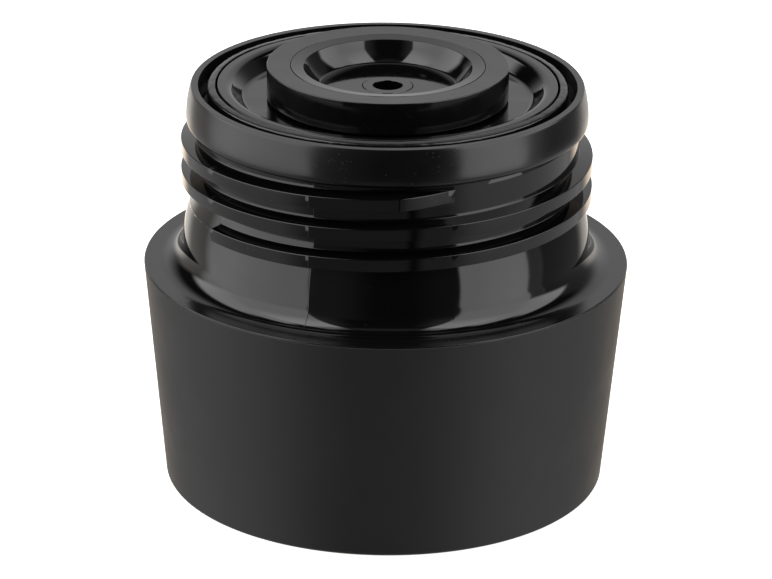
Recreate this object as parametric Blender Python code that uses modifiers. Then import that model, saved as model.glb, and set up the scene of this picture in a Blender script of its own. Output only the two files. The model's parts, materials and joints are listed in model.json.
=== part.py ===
"""Push-button stopper of an insulated jug, standing on the rim of its grip cap.

The button is in the cap's lower end. The neck, its thread and the valve point up.
All outlines are (radius, height) in millimetres from the base's centre, +Z up.
"""

import math

import bmesh
import bpy

MM = 0.001

# Grip cap
CAP_HEIGHT = 39.7
CAP_TOP_R = 42.0
CAP_TAPER = 0.0918
CAP_WALL = 2.3
CAP_EDGE_ROUND = 0.8
RIM_INNER_R = 34.6
RIM_THICK = 2.9

# Shoulder and neck
FLANGE_THICK = 2.1
FLANGE_GAP = 0.9
NECK_FOOT_R = 35.22
NECK_FOOT_DEG = 3.0
NECK_FILLET = 4.1
NECK_SIDE_ARC = 26.2
CORE_R = 33.1
BODY_TOP_Z = 64.4
NECK_BORE_R = 31.0
SKIRT_BORE_R = 29.5
LEDGE_R = 27.8
LEDGE_Z = 57.3
LEDGE_THICK = 2.2
LEDGE_SLOPE = 2.3
WEB_HOLE_R = 16.4

# Thread on the neck
THREAD_PITCH = 5.3
THREAD_CREST_R = 35.45
THREAD_ROOT_R = 32.5
THREAD_WIDTH = 2.15
THREAD_FLANK_DEG = 15.0
THREAD_TOP_Z = 63.54
THREAD_START_DEG = 19.0
THREAD_SWEEP_DEG = 796.5
THREAD_RUNOUT_DEG = 15.0
THREAD_RUNOUT_STEP = 0.15

# Screw bosses under the shoulder
BOSS_COUNT = 3
BOSS_CIRCLE_R = 22.0
BOSS_R = 3.0
BOSS_START_DEG = 30.0
BOSS_HOLE_R = 1.3
BOSS_END_Z = 25.6
BOSS_HOLE_DEPTH = 9.5

# Neck gasket, a U section with its lips up
GASKET_FOOT_Z = 64.75
GASKET_TOP_Z = 71.3
GASKET_OUTER_R = 34.55
GASKET_FOOT_ROUND = 0.95
GASKET_SIDE_ARC = 19.1
GASKET_SIDE_DEG = 16.1
GASKET_LEG_RISE = 0.1
GASKET_FLOOR_Z = 66.8
GROOVE_OUTER_R = 32.4
GROOVE_INNER_R = 30.9
GASKET_INNER_R = 29.55

# Plug end with the valve's seat
PLUG_R = 29.2
PLUG_CREST_Z = 71.35
PLUG_SKIRT_Z = 57.65
SKIRT_WALL = 1.8
SEAT_Z = 68.75
SEAT_THICK = 1.85
CREST_TOP_R = 28.0
CREST_ROUND = 1.9
CREST_EDGE_ROUND = 0.25
TROUGH_FLAT_R = 24.2
TROUGH_FILLET = 1.2
TROUGH_SLOPE_DEG = 35.0
THROAT_R = 11.3
THROAT_WALL = 2.5
THROAT_END_Z = 56.5
RING_GROOVE_TOP_Z = 60.0
RING_GROOVE_END_Z = 58.0
RING_GROOVE_R = 12.5

# Valve plate, its rubber ring and the stem
PLATE_R = 16.55
PLATE_TOP_Z = 74.7
DISH_LIP_R = 14.5
DISH_LIP_Z = 74.42
DISH_LIP_ROUND = 0.3
DISH_WALL_DEG = 34.0
DISH_BEND_Z = 73.18
DISH_BEND_R = 12.5
DISH_FOOT_DEG = 46.0
DISH_FILLET = 0.85
DISH_FLOOR_Z = 70.95
PLATE_UNDER_Z = 69.4
BEAD_GROOVE_R = 15.0
BEAD_GROOVE_Z = (70.9, 72.7)
HUB_R = 8.2
HUB_END_Z = 64.0
HUB_RECESS_Z = 66.3
HUB_RECESS_R = 6.6
SEAL_R = 20.76
SEAL_TOP_Z = 74.79
SEAL_TOP_ROUND = 0.15
SEAL_FOOT_Z = 69.08
SEAL_FOOT_ROUND = 0.45
STEM_R = 4.3
STEM_BORE_R = 2.55
STEM_TOP_Z = 71.0
STEM_END_Z = 19.9
STEM_STEP_Z = 26.0
STEM_SCREW_HOLE_R = 1.5

# Pour bowl and tube inside the cap
TUBE_R = 14.2
TUBE_WALL = 1.8
TUBE_TOP_Z = 58.5
STOP_BEAD_R = 13.5
STOP_BEAD_Z = 44.7
STOP_BEAD_HIGH = 1.0
BOWL_R = 28.6
BOWL_FLOOR_Z = 22.0
BOWL_WALL = 1.6
BOWL_CONE_Z = 6.0
BOWL_CONE_RISE = 1.2
BOWL_RIM_Z = 0.6
BOWL_RIM_THICK = 2.0

# Button
BUTTON_R = 22.2
BUTTON_FACE_Z = 2.4
BUTTON_EDGE = 0.8
BUTTON_THICK = 2.4
BUTTON_SKIRT_Z = 13.0
BUTTON_WALL = 1.6
PAD_RECESS_R = 19.0
PAD_RECESS = 1.2
PAD_DISH_R = 11.2
PAD_DISH = (0.2, 0.3)
POST_R = 5.2
POST_TOP_Z = 19.6
POST_FLANGE_R = 8.5
POST_FLANGE_THICK = 2.0
POST_HOLE_END_Z = 10.0

# Stem guide in the pour tube
GUIDE_BORE_R = 4.45
GUIDE_HUB_R = 7.6
GUIDE_HUB_Z = (44.3, 56.0)
GUIDE_RING_Z = (46.0, 54.0)
GUIDE_RING_R = (12.4, 13.9)
GUIDE_ARMS = 3
ARM_THICK = 1.8
ARM_SETBACK = 0.2
ARM_OVERLAP = 0.5
LUG_HALF_WIDTH = 2.0
LUG_Y = (-11.4, -8.6)
LUG_BELOW_PIVOT = 1.9
PIVOT_Z = 41.0
PIVOT_HOLE_R = 0.85

# Return spring
SPRING_MEAN_R = 6.6
SPRING_WIRE_R = 0.55
SPRING_Z = (22.4, 42.9)
SPRING_TURNS = 6.0
WASHER_R = 7.7
WASHER_Z = (43.2, 44.0)

# Push-push latch: a heart-shaped track on the button's side and a wire pin in it
CAM_HALF_WIDTH = 4.4
CAM_FACE_Y = -11.8
CAM_BACK_Y = -9.2
CAM_Z = (18.0, 30.0)
CAM_RING_R = 8.6
CAM_RING_Z = (19.95, 22.0)
CAM_ARM_HALF_WIDTH = 2.5
CAM_ARM_Y = (-9.8, -7.0)
CAM_ARM_SETBACK = 0.1
TRACK_DEPTH = 1.4
TRACK_HALF_WIDTH = 0.82
TRACK_TOP_Z = 25.0
TRACK_NOTCH_Z = 21.2
TRACK_LOW_Z = 20.0
TRACK_SIDE = 2.4
PIN_WIRE_R = 0.5
PIN_Y = -12.7
PIN_TIP_Y = -10.8
PIN_TAIL_Y = -9.0
PIN_BEND_R = 1.2

# Screws: radii of head and shank, and heights along the screw
STEM_SCREW_HEAD_R = 2.2
STEM_SCREW_HEAD_HIGH = 2.1
STEM_SCREW_SHANK_R = 1.2
CASE_SCREW_HEAD_R = 2.6
CASE_SCREW_CROWN_R = 1.6
CASE_SCREW_HEAD_HIGH = 1.2
CASE_SCREW_CROWN_HIGH = 0.6
CASE_SCREW_SHANK_R = 1.0
CASE_SCREW_LENGTH = 11.0
SCREW_POINT = 1.0

# Rubber rings: (mean radius, height, radius of the section)
STEM_O_RING = (5.6, 65.1, 0.6)
THROAT_O_RING = (13.3, 59.0, 0.5)
BOWL_SEAL = (34.6, 4.4, 0.75)

# Foam
FOAM_GAP = 0.4
CAP_FOAM_LOW_Z = 9.0

GAP = 0.3
OVERLAP = 1.0

# Segments round the axis
FINE = 48
MEDIUM = 36
COARSE = 24
SMALL = 12
ROUND_SLOT = 16

MODEL_NAME = "jug_stopper"


def clear_scene():
    """Remove every object, so that the script starts from nothing."""
    for item in list(bpy.data.objects):
        bpy.data.objects.remove(item)


def new_collection(name):
    collection = bpy.data.collections.new(name)
    bpy.context.scene.collection.children.link(collection)
    return collection


def principled(name, color, roughness, metallic=0.0):
    """A Principled material with one colour, roughness and metallic value."""
    material = bpy.data.materials.new(name)
    material.use_nodes = True
    shader = material.node_tree.nodes["Principled BSDF"]
    shader.inputs["Base Color"].default_value = (*color, 1.0)
    shader.inputs["Roughness"].default_value = roughness
    shader.inputs["Metallic"].default_value = metallic
    return material


def link_object(name, data, collection, material=None):
    item = bpy.data.objects.new(name, data)
    collection.objects.link(item)
    if material is not None:
        data.materials.append(material)
    return item


def as_helper(item):
    """Mark an object as a construction helper, left out of the model."""
    item.hide_render = True
    item.display_type = "WIRE"
    return item


def arc(center, radius, start_deg, end_deg, count):
    """Points of an arc in an outline, both ends included."""
    points = []
    for step in range(count + 1):
        angle = math.radians(start_deg + (end_deg - start_deg) * step / count)
        points.append((center[0] + radius * math.cos(angle), center[1] + radius * math.sin(angle)))
    return points


def turned(name, outline, segments, collection, material=None, closed=True):
    """A turned piece: its outline, top to bottom down the outer side, with a Screw modifier."""
    mesh = bpy.data.meshes.new(name)
    points = [(radius * MM, 0.0, height * MM) for radius, height in outline]
    edges = [(index, index + 1) for index in range(len(points) - 1)]
    if closed:
        edges.append((len(points) - 1, 0))
    mesh.from_pydata(points, edges, [])
    item = link_object(name, mesh, collection, material)
    screw = item.modifiers.new("turn", "SCREW")
    screw.angle = 2.0 * math.pi
    screw.steps = segments
    screw.render_steps = segments
    screw.use_merge_vertices = True
    screw.merge_threshold = 0.00001
    screw.use_smooth_shade = True
    return item


def box(name, low, high, collection):
    """A box between two corners, as a helper or the base of a piece."""
    mesh = bpy.data.meshes.new(name)
    cube = bmesh.new()
    bmesh.ops.create_cube(cube, size=1.0)
    for vertex in cube.verts:
        for axis in range(3):
            share = vertex.co[axis] + 0.5
            vertex.co[axis] = (low[axis] + (high[axis] - low[axis]) * share) * MM
    cube.to_mesh(mesh)
    cube.free()
    return link_object(name, mesh, collection)


def rod(name, start, end, radius, segments, collection):
    """A round rod between two points, used to add or cut a round shape."""
    span = [end[axis] - start[axis] for axis in range(3)]
    length = math.sqrt(sum(part * part for part in span))
    mesh = bpy.data.meshes.new(name)
    solid = bmesh.new()
    bmesh.ops.create_cone(
        solid,
        cap_ends=True,
        segments=segments,
        radius1=radius * MM,
        radius2=radius * MM,
        depth=length * MM,
    )
    solid.to_mesh(mesh)
    solid.free()
    item = link_object(name, mesh, collection)
    item.location = [(start[axis] + end[axis]) * MM / 2.0 for axis in range(3)]
    item.rotation_euler = (math.acos(span[2] / length), 0.0, math.atan2(span[0], -span[1]))
    return item


def boolean(target, tool, operation):
    """Add or cut a helper on a target, with the EXACT solver."""
    modifier = target.modifiers.new(operation.lower() + "_" + tool.name, "BOOLEAN")
    modifier.operation = operation
    modifier.object = as_helper(tool)
    modifier.solver = "EXACT"
    return modifier


def ring_of(count, radius, start_deg=0.0):
    """Points evenly spaced on a circle, with their angles in radians."""
    for index in range(count):
        angle = math.radians(start_deg) + 2.0 * math.pi * index / count
        yield index, angle, radius * math.cos(angle), radius * math.sin(angle)


def boss_places():
    """The three screw bosses, and so the screws and their holes."""
    return ring_of(BOSS_COUNT, BOSS_CIRCLE_R, BOSS_START_DEG)


def cap_radius(height):
    """The grip cap's outer radius at a height."""
    return CAP_TOP_R - CAP_TAPER * (CAP_HEIGHT - height)


def make_outer_cap(parts, material):
    """Matte tapered shell. Its lower rim is the flat face that the stopper stands on."""
    ledge_z = CAP_HEIGHT - FLANGE_THICK - GAP
    edge_center = (cap_radius(0.0) - CAP_EDGE_ROUND, CAP_EDGE_ROUND)
    outline = [
        (CAP_TOP_R - FLANGE_GAP + GAP, CAP_HEIGHT),
        (CAP_TOP_R, CAP_HEIGHT),
        *arc(edge_center, CAP_EDGE_ROUND, 0.0, -90.0, 3),
        (RIM_INNER_R, 0.0),
        (RIM_INNER_R, RIM_THICK),
        (cap_radius(RIM_THICK) - CAP_WALL, RIM_THICK),
        (cap_radius(ledge_z) - CAP_WALL, ledge_z),
        (CAP_TOP_R - FLANGE_GAP + GAP, ledge_z),
    ]
    return turned("outer_cap", outline, FINE, parts, material)


def neck_side():
    """The neck's outer side from the thread's core down to the shoulder."""
    lean = math.radians(NECK_FOOT_DEG)
    foot_z = CAP_HEIGHT + NECK_FILLET * (1.0 - math.sin(lean))
    center = (NECK_FOOT_R - NECK_SIDE_ARC * math.cos(lean), foot_z - NECK_SIDE_ARC * math.sin(lean))
    top_angle = math.degrees(math.acos((CORE_R - center[0]) / NECK_SIDE_ARC))
    side = arc(center, NECK_SIDE_ARC, top_angle, NECK_FOOT_DEG, 6)
    fillet_center = (NECK_FOOT_R + NECK_FILLET * math.cos(lean), CAP_HEIGHT + NECK_FILLET)
    fillet = arc(fillet_center, NECK_FILLET, 180.0 + NECK_FOOT_DEG, 270.0, 6)
    return side + fillet[1:]


def make_thread(helpers):
    """The thread's rib: a section wider at its root, swept along the helix and run out at its upper end."""
    low_z = THREAD_TOP_Z - THREAD_WIDTH
    spread = (THREAD_CREST_R - THREAD_ROOT_R) * math.tan(math.radians(THREAD_FLANK_DEG))
    corners = [
        (THREAD_ROOT_R, THREAD_TOP_Z + spread),
        (THREAD_CREST_R, THREAD_TOP_Z),
        (THREAD_CREST_R, low_z),
        (THREAD_ROOT_R, low_z - spread),
    ]
    steps = round(FINE * THREAD_SWEEP_DEG / 360.0)
    profile = turned("thread_profile", corners, steps, helpers)
    screw = profile.modifiers["turn"]
    screw.angle = -math.radians(THREAD_SWEEP_DEG)
    screw.screw_offset = -THREAD_PITCH * MM * THREAD_SWEEP_DEG / 360.0
    screw.use_merge_vertices = False
    bpy.context.view_layer.update()
    swept = profile.evaluated_get(bpy.context.evaluated_depsgraph_get())
    mesh = bpy.data.meshes.new_from_object(swept)
    bpy.data.objects.remove(profile)
    solid = bmesh.new()
    solid.from_mesh(mesh)
    open_edges = [edge for edge in solid.edges if edge.is_boundary]
    bmesh.ops.holes_fill(solid, edges=open_edges, sides=4)
    solid.verts.ensure_lookup_table()
    for index, vertex in enumerate(solid.verts):
        step = index // len(corners)
        run_out(vertex, THREAD_SWEEP_DEG * step / steps)
    bmesh.ops.recalc_face_normals(solid, faces=solid.faces)
    solid.to_mesh(mesh)
    solid.free()
    rib = link_object("thread_rib", mesh, helpers)
    rib.rotation_euler = (0.0, 0.0, math.radians(THREAD_START_DEG - 90.0))
    return rib


def run_out(vertex, turned_deg):
    """Sink the crest into the core over the thread's first degrees."""
    radius = math.hypot(vertex.co.x, vertex.co.y)
    is_crest = radius > (CORE_R + THREAD_CREST_R) / 2.0 * MM
    if not is_crest or turned_deg > THREAD_RUNOUT_DEG:
        return
    share = turned_deg / THREAD_RUNOUT_DEG
    target = (CORE_R + THREAD_RUNOUT_STEP) * (1.0 - share) + THREAD_CREST_R * share
    vertex.co.x *= target * MM / radius
    vertex.co.y *= target * MM / radius


def make_stopper_body(parts, helpers, material):
    """Shoulder, neck and thread in one moulding, with screw bosses under the shoulder."""
    under_z = CAP_HEIGHT - FLANGE_THICK
    flange_r = CAP_TOP_R - FLANGE_GAP
    outline = [
        (SKIRT_BORE_R, BODY_TOP_Z),
        (CORE_R, BODY_TOP_Z),
        *neck_side(),
        (flange_r, CAP_HEIGHT),
        (flange_r, under_z),
        (WEB_HOLE_R, under_z),
        (WEB_HOLE_R, CAP_HEIGHT),
        (NECK_BORE_R, CAP_HEIGHT),
        (NECK_BORE_R, LEDGE_Z - LEDGE_THICK - LEDGE_SLOPE),
        (LEDGE_R, LEDGE_Z - LEDGE_THICK),
        (LEDGE_R, LEDGE_Z),
        (SKIRT_BORE_R, LEDGE_Z),
    ]
    body = turned("stopper_body", outline, FINE, parts, material)
    boolean(body, make_thread(helpers), "UNION")
    for index, _, x, y in boss_places():
        low = (x, y, BOSS_END_Z)
        high = (x, y, under_z + OVERLAP)
        boss = rod(f"boss_{index}", low, high, BOSS_R, SMALL, helpers)
        boolean(body, boss, "UNION")
    for index, _, x, y in boss_places():
        low = (x, y, BOSS_END_Z - OVERLAP)
        high = (x, y, BOSS_END_Z + BOSS_HOLE_DEPTH)
        hole = rod(f"boss_hole_{index}", low, high, BOSS_HOLE_R, SMALL, helpers)
        boolean(body, hole, "DIFFERENCE")
    return body


def make_neck_gasket(parts, material):
    """Rubber lip seal: an outer lip that bears on the jug's neck and an inner leg."""
    widest_z = GASKET_FOOT_Z + GASKET_FOOT_ROUND
    side_center = (GASKET_OUTER_R - GASKET_SIDE_ARC, widest_z)
    foot_center = (GASKET_OUTER_R - GASKET_FOOT_ROUND, widest_z)
    side = arc(side_center, GASKET_SIDE_ARC, GASKET_SIDE_DEG, 0.0, 4)
    rim_r, rim_z = side[0]
    leg_z = GASKET_TOP_Z + GASKET_LEG_RISE
    outline = [
        (GROOVE_OUTER_R, GASKET_TOP_Z),
        (rim_r - (GASKET_TOP_Z - rim_z), GASKET_TOP_Z),
        *side,
        *arc(foot_center, GASKET_FOOT_ROUND, 0.0, -90.0, 3)[1:],
        (GASKET_INNER_R, GASKET_FOOT_Z),
        (GASKET_INNER_R, leg_z),
        (GROOVE_INNER_R, leg_z),
        (GROOVE_INNER_R, GASKET_FLOOR_Z),
        (GROOVE_OUTER_R, GASKET_FLOOR_Z),
    ]
    return turned("neck_gasket", outline, FINE, parts, material)


def make_plug_end(parts, material):
    """End moulding: rounded crest, trough with the valve's flat seat, throat and skirt."""
    throat_outer = THROAT_R + THROAT_WALL
    fillet_center = (TROUGH_FLAT_R, SEAT_Z + TROUGH_FILLET)
    crest_center = (CREST_TOP_R, PLUG_CREST_Z - CREST_ROUND)
    edge_center = (PLUG_R - CREST_EDGE_ROUND, PLUG_CREST_Z - CREST_EDGE_ROUND)
    outline = [
        (THROAT_R, SEAT_Z),
        *arc(fillet_center, TROUGH_FILLET, -90.0, -TROUGH_SLOPE_DEG, 3),
        *arc(crest_center, CREST_ROUND, 180.0 - TROUGH_SLOPE_DEG, 90.0, 3),
        *arc(edge_center, CREST_EDGE_ROUND, 90.0, 0.0, 2),
        (PLUG_R, PLUG_SKIRT_Z),
        (PLUG_R - SKIRT_WALL, PLUG_SKIRT_Z),
        (PLUG_R - SKIRT_WALL, SEAT_Z - SEAT_THICK),
        (throat_outer, SEAT_Z - SEAT_THICK),
        (throat_outer, RING_GROOVE_TOP_Z),
        (RING_GROOVE_R, RING_GROOVE_TOP_Z),
        (RING_GROOVE_R, RING_GROOVE_END_Z),
        (throat_outer, RING_GROOVE_END_Z),
        (throat_outer, THROAT_END_Z),
        (THROAT_R, THROAT_END_Z),
    ]
    return turned("plug_end", outline, MEDIUM, parts, material)


def dish_wall():
    """The dish's side: a fillet on its floor, a hollow curve, then a straight rise to the lip."""
    lean = math.radians(DISH_WALL_DEG)
    foot = math.radians(DISH_FOOT_DEG)
    bend_r = DISH_LIP_R - (DISH_LIP_Z - DISH_BEND_Z) * math.tan(lean)
    center = (bend_r - DISH_BEND_R * math.cos(lean), DISH_BEND_Z + DISH_BEND_R * math.sin(lean))
    bend = arc(center, DISH_BEND_R, -DISH_FOOT_DEG, -DISH_WALL_DEG, 3)
    fillet_center = (bend[0][0] - DISH_FILLET * math.cos(foot), DISH_FLOOR_Z + DISH_FILLET)
    fillet = arc(fillet_center, DISH_FILLET, -90.0, -DISH_FOOT_DEG, 2)
    return fillet[:-1] + bend


def make_valve_plate(parts, material):
    """Dished plate with a hub for the stem and a groove for the rubber ring's bead."""
    groove_low, groove_high = BEAD_GROOVE_Z
    lean = math.radians(DISH_WALL_DEG)
    lip_r = DISH_LIP_R + DISH_LIP_ROUND * (1.0 - math.sin(lean)) / math.cos(lean)
    lip_center = (lip_r, DISH_LIP_Z - DISH_LIP_ROUND)
    outline = [
        (STEM_R + GAP, DISH_FLOOR_Z),
        *dish_wall(),
        *arc(lip_center, DISH_LIP_ROUND, 180.0 - DISH_WALL_DEG, 90.0, 2),
        (PLATE_R, PLATE_TOP_Z),
        (PLATE_R, groove_high),
        (BEAD_GROOVE_R, groove_high),
        (BEAD_GROOVE_R, groove_low),
        (PLATE_R, groove_low),
        (PLATE_R, PLATE_UNDER_Z),
        (HUB_R, PLATE_UNDER_Z),
        (HUB_R, HUB_END_Z),
        (HUB_RECESS_R, HUB_END_Z),
        (HUB_RECESS_R, HUB_RECESS_Z),
        (STEM_R + GAP, HUB_RECESS_Z),
    ]
    return turned("valve_plate", outline, MEDIUM, parts, material)


def make_valve_seal(parts, material):
    """Thick rubber ring that closes on the seat, held by its inner bead."""
    groove_low, groove_high = BEAD_GROOVE_Z
    inner_r = PLATE_R + GAP
    bead_r = BEAD_GROOVE_R + GAP
    top_center = (SEAL_R - SEAL_TOP_ROUND, SEAL_TOP_Z - SEAL_TOP_ROUND)
    foot_center = (SEAL_R - SEAL_FOOT_ROUND, SEAL_FOOT_Z + SEAL_FOOT_ROUND)
    outline = [
        (inner_r, SEAL_TOP_Z),
        *arc(top_center, SEAL_TOP_ROUND, 90.0, 0.0, 2),
        *arc(foot_center, SEAL_FOOT_ROUND, 0.0, -90.0, 3),
        (inner_r, SEAL_FOOT_Z),
        (inner_r, groove_low + GAP),
        (bead_r, groove_low + GAP),
        (bead_r, groove_high - GAP),
        (inner_r, groove_high - GAP),
    ]
    return turned("valve_seal", outline, MEDIUM, parts, material)


def make_valve_stem(parts, material):
    """Hollow stem from the dish to the button, with a step for the screw's head."""
    outline = [
        (STEM_BORE_R, STEM_TOP_Z),
        (STEM_R, STEM_TOP_Z),
        (STEM_R, STEM_END_Z),
        (STEM_SCREW_HOLE_R, STEM_END_Z),
        (STEM_SCREW_HOLE_R, STEM_STEP_Z),
        (STEM_BORE_R, STEM_STEP_Z),
    ]
    return turned("valve_stem", outline, COARSE, parts, material)


def make_cap_insert(parts, helpers, material):
    """Pour bowl and pour tube in one piece, with holes for the case screws."""
    rim_r = RIM_INNER_R - GAP
    outer_r = BOWL_R + BOWL_WALL
    top_z = BOWL_FLOOR_Z + BOWL_WALL
    outline = [
        (TUBE_R, TUBE_TOP_Z),
        (TUBE_R + TUBE_WALL, TUBE_TOP_Z),
        (TUBE_R + TUBE_WALL, top_z),
        (outer_r, top_z),
        (outer_r, BOWL_CONE_Z + BOWL_CONE_RISE),
        (rim_r, BOWL_RIM_Z + BOWL_RIM_THICK),
        (rim_r, BOWL_RIM_Z),
        (BOWL_R, BOWL_CONE_Z),
        (BOWL_R, BOWL_FLOOR_Z),
        (TUBE_R, BOWL_FLOOR_Z),
        (TUBE_R, STOP_BEAD_Z),
        (STOP_BEAD_R, STOP_BEAD_Z),
        (STOP_BEAD_R, STOP_BEAD_Z + STOP_BEAD_HIGH),
        (TUBE_R, STOP_BEAD_Z + STOP_BEAD_HIGH),
    ]
    insert = turned("cap_insert", outline, MEDIUM, parts, material)
    for index, _, x, y in boss_places():
        low = (x, y, BOWL_FLOOR_Z - OVERLAP)
        high = (x, y, top_z + OVERLAP)
        hole = rod(f"case_hole_{index}", low, high, BOSS_HOLE_R + GAP, SMALL, helpers)
        boolean(insert, hole, "DIFFERENCE")
    return insert


def make_push_button(parts, material):
    """Button with a skirt, a recess for the pad and a post that carries the stem."""
    face = BUTTON_FACE_Z
    plate_z = face + BUTTON_THICK
    inner_r = BUTTON_R - BUTTON_WALL
    flange_z = POST_TOP_Z - POST_FLANGE_THICK
    outline = [
        (0.0, POST_HOLE_END_Z),
        (STEM_SCREW_HOLE_R, POST_HOLE_END_Z),
        (STEM_SCREW_HOLE_R, POST_TOP_Z),
        (POST_FLANGE_R, POST_TOP_Z),
        (POST_FLANGE_R, flange_z),
        (POST_R, flange_z),
        (POST_R, plate_z),
        (inner_r, plate_z),
        (inner_r, BUTTON_SKIRT_Z),
        (BUTTON_R, BUTTON_SKIRT_Z),
        (BUTTON_R, face + BUTTON_EDGE),
        (BUTTON_R - BUTTON_EDGE, face),
        (PAD_RECESS_R, face),
        (PAD_RECESS_R, face + PAD_RECESS),
        (0.0, face + PAD_RECESS),
    ]
    return turned("push_button", outline, MEDIUM, parts, material, closed=False)


def make_button_pad(parts, material):
    """Thin disc let into the button's face, slightly dished for the thumb."""
    radius = PAD_RECESS_R - GAP
    top_z = BUTTON_FACE_Z + PAD_RECESS - GAP
    ring_dish, middle_dish = PAD_DISH
    outline = [
        (0.0, top_z),
        (radius, top_z),
        (radius, BUTTON_FACE_Z),
        (PAD_DISH_R, BUTTON_FACE_Z + ring_dish),
        (0.0, BUTTON_FACE_Z + middle_dish),
    ]
    return turned("button_pad", outline, MEDIUM, parts, material, closed=False)


def make_stem_guide(parts, helpers, material):
    """Three-armed guide in the pour tube, with a lug for the latch pin's pivot."""
    low, high = GUIDE_HUB_Z
    outline = [(GUIDE_BORE_R, high), (GUIDE_HUB_R, high), (GUIDE_HUB_R, low), (GUIDE_BORE_R, low)]
    guide = turned("stem_guide", outline, COARSE, parts, material)
    ring_low, ring_high = GUIDE_RING_Z
    inner, outer = GUIDE_RING_R
    ring_outline = [(inner, ring_high), (outer, ring_high), (outer, ring_low), (inner, ring_low)]
    half = ARM_THICK / 2.0
    for index, angle, _, _ in ring_of(GUIDE_ARMS, outer, -90.0):
        arm_low = (GUIDE_HUB_R - ARM_OVERLAP, -half, ring_low + ARM_SETBACK)
        arm_high = (inner + ARM_OVERLAP, half, ring_high - ARM_SETBACK)
        arm = box(f"guide_arm_{index}", arm_low, arm_high, helpers)
        arm.rotation_euler = (0.0, 0.0, angle)
        boolean(guide, arm, "UNION")
    boolean(guide, turned("guide_ring", ring_outline, COARSE, helpers), "UNION")
    lug_low = (-LUG_HALF_WIDTH, LUG_Y[0], PIVOT_Z - LUG_BELOW_PIVOT)
    lug_high = (LUG_HALF_WIDTH, LUG_Y[1], ring_low + ARM_OVERLAP)
    boolean(guide, box("pivot_lug", lug_low, lug_high, helpers), "UNION")
    hole_start = (0.0, LUG_Y[0] - OVERLAP, PIVOT_Z)
    hole_end = (0.0, LUG_Y[1] + OVERLAP, PIVOT_Z)
    hole = rod("pivot_hole", hole_start, hole_end, PIVOT_HOLE_R, SMALL, helpers)
    boolean(guide, hole, "DIFFERENCE")
    return guide


def helix_points(mean_r, low, high, turns, per_turn):
    count = round(turns * per_turn)
    for index in range(count + 1):
        share = index / count
        angle = 2.0 * math.pi * turns * share
        yield mean_r * math.cos(angle), mean_r * math.sin(angle), low + (high - low) * share


def wire(name, points, radius, collection, material):
    """A round wire through points, with closed ends."""
    curve = bpy.data.curves.new(name, "CURVE")
    curve.dimensions = "3D"
    curve.bevel_depth = radius * MM
    curve.bevel_resolution = 2
    curve.use_fill_caps = True
    spline = curve.splines.new("POLY")
    spline.points.add(len(points) - 1)
    for target, point in zip(spline.points, points):
        target.co = (point[0] * MM, point[1] * MM, point[2] * MM, 1.0)
    return link_object(name, curve, collection, material)


def make_return_spring(parts, material):
    low = SPRING_Z[0] + SPRING_WIRE_R
    high = SPRING_Z[1] - SPRING_WIRE_R
    points = list(helix_points(SPRING_MEAN_R, low, high, SPRING_TURNS, SMALL))
    return wire("return_spring", points, SPRING_WIRE_R, parts, material)


def make_latch_cam(parts, helpers, material):
    """Spring seat with a block beside it, whose outer face carries the heart-shaped track."""
    low, high = CAM_RING_Z
    outline = [(STEM_R + GAP, high), (CAM_RING_R, high), (CAM_RING_R, low), (STEM_R + GAP, low)]
    cam = turned("latch_cam", outline, COARSE, parts, material)
    block_low = (-CAM_HALF_WIDTH, CAM_FACE_Y, CAM_Z[0])
    block_high = (CAM_HALF_WIDTH, CAM_BACK_Y, CAM_Z[1])
    boolean(cam, box("cam_block", block_low, block_high, helpers), "UNION")
    arm_low = (-CAM_ARM_HALF_WIDTH, CAM_ARM_Y[0], low + CAM_ARM_SETBACK)
    arm_high = (CAM_ARM_HALF_WIDTH, CAM_ARM_Y[1], high - CAM_ARM_SETBACK)
    boolean(cam, box("cam_arm", arm_low, arm_high, helpers), "UNION")
    boolean(cam, make_track(helpers), "DIFFERENCE")
    return cam


def make_track(helpers):
    """Cutter of the heart-shaped track: four slots round an island."""
    path = [
        (0.0, TRACK_TOP_Z),
        (-TRACK_SIDE, TRACK_LOW_Z),
        (0.0, TRACK_NOTCH_Z),
        (TRACK_SIDE, TRACK_LOW_Z),
        (0.0, TRACK_TOP_Z),
    ]
    floor_y = CAM_FACE_Y + TRACK_DEPTH
    front_y = CAM_FACE_Y - OVERLAP
    cutter = None
    for index in range(len(path) - 1):
        x, z = path[index]
        hub_start = (x, front_y, z)
        hub_end = (x, floor_y, z)
        hub = rod(f"track_turn_{index}", hub_start, hub_end, TRACK_HALF_WIDTH, ROUND_SLOT, helpers)
        slot = track_slot(index, path[index], path[index + 1], front_y, floor_y, helpers)
        if cutter is None:
            cutter = hub
        else:
            boolean(cutter, hub, "UNION")
        boolean(cutter, slot, "UNION")
    return cutter


def track_slot(index, start, end, front_y, floor_y, helpers):
    """One straight slot of the track, a turned box between two corners of the heart."""
    run_x = end[0] - start[0]
    run_z = end[1] - start[1]
    length = math.hypot(run_x, run_z)
    half_depth = (floor_y - front_y) / 2.0
    slot = box(
        f"track_slot_{index}",
        (-length / 2.0, -half_depth, -TRACK_HALF_WIDTH),
        (length / 2.0, half_depth, TRACK_HALF_WIDTH),
        helpers,
    )
    middle = ((start[0] + end[0]) / 2.0, (front_y + floor_y) / 2.0, (start[1] + end[1]) / 2.0)
    slot.location = [part * MM for part in middle]
    slot.rotation_euler = (0.0, -math.atan2(run_z, run_x), 0.0)
    return slot


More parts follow.
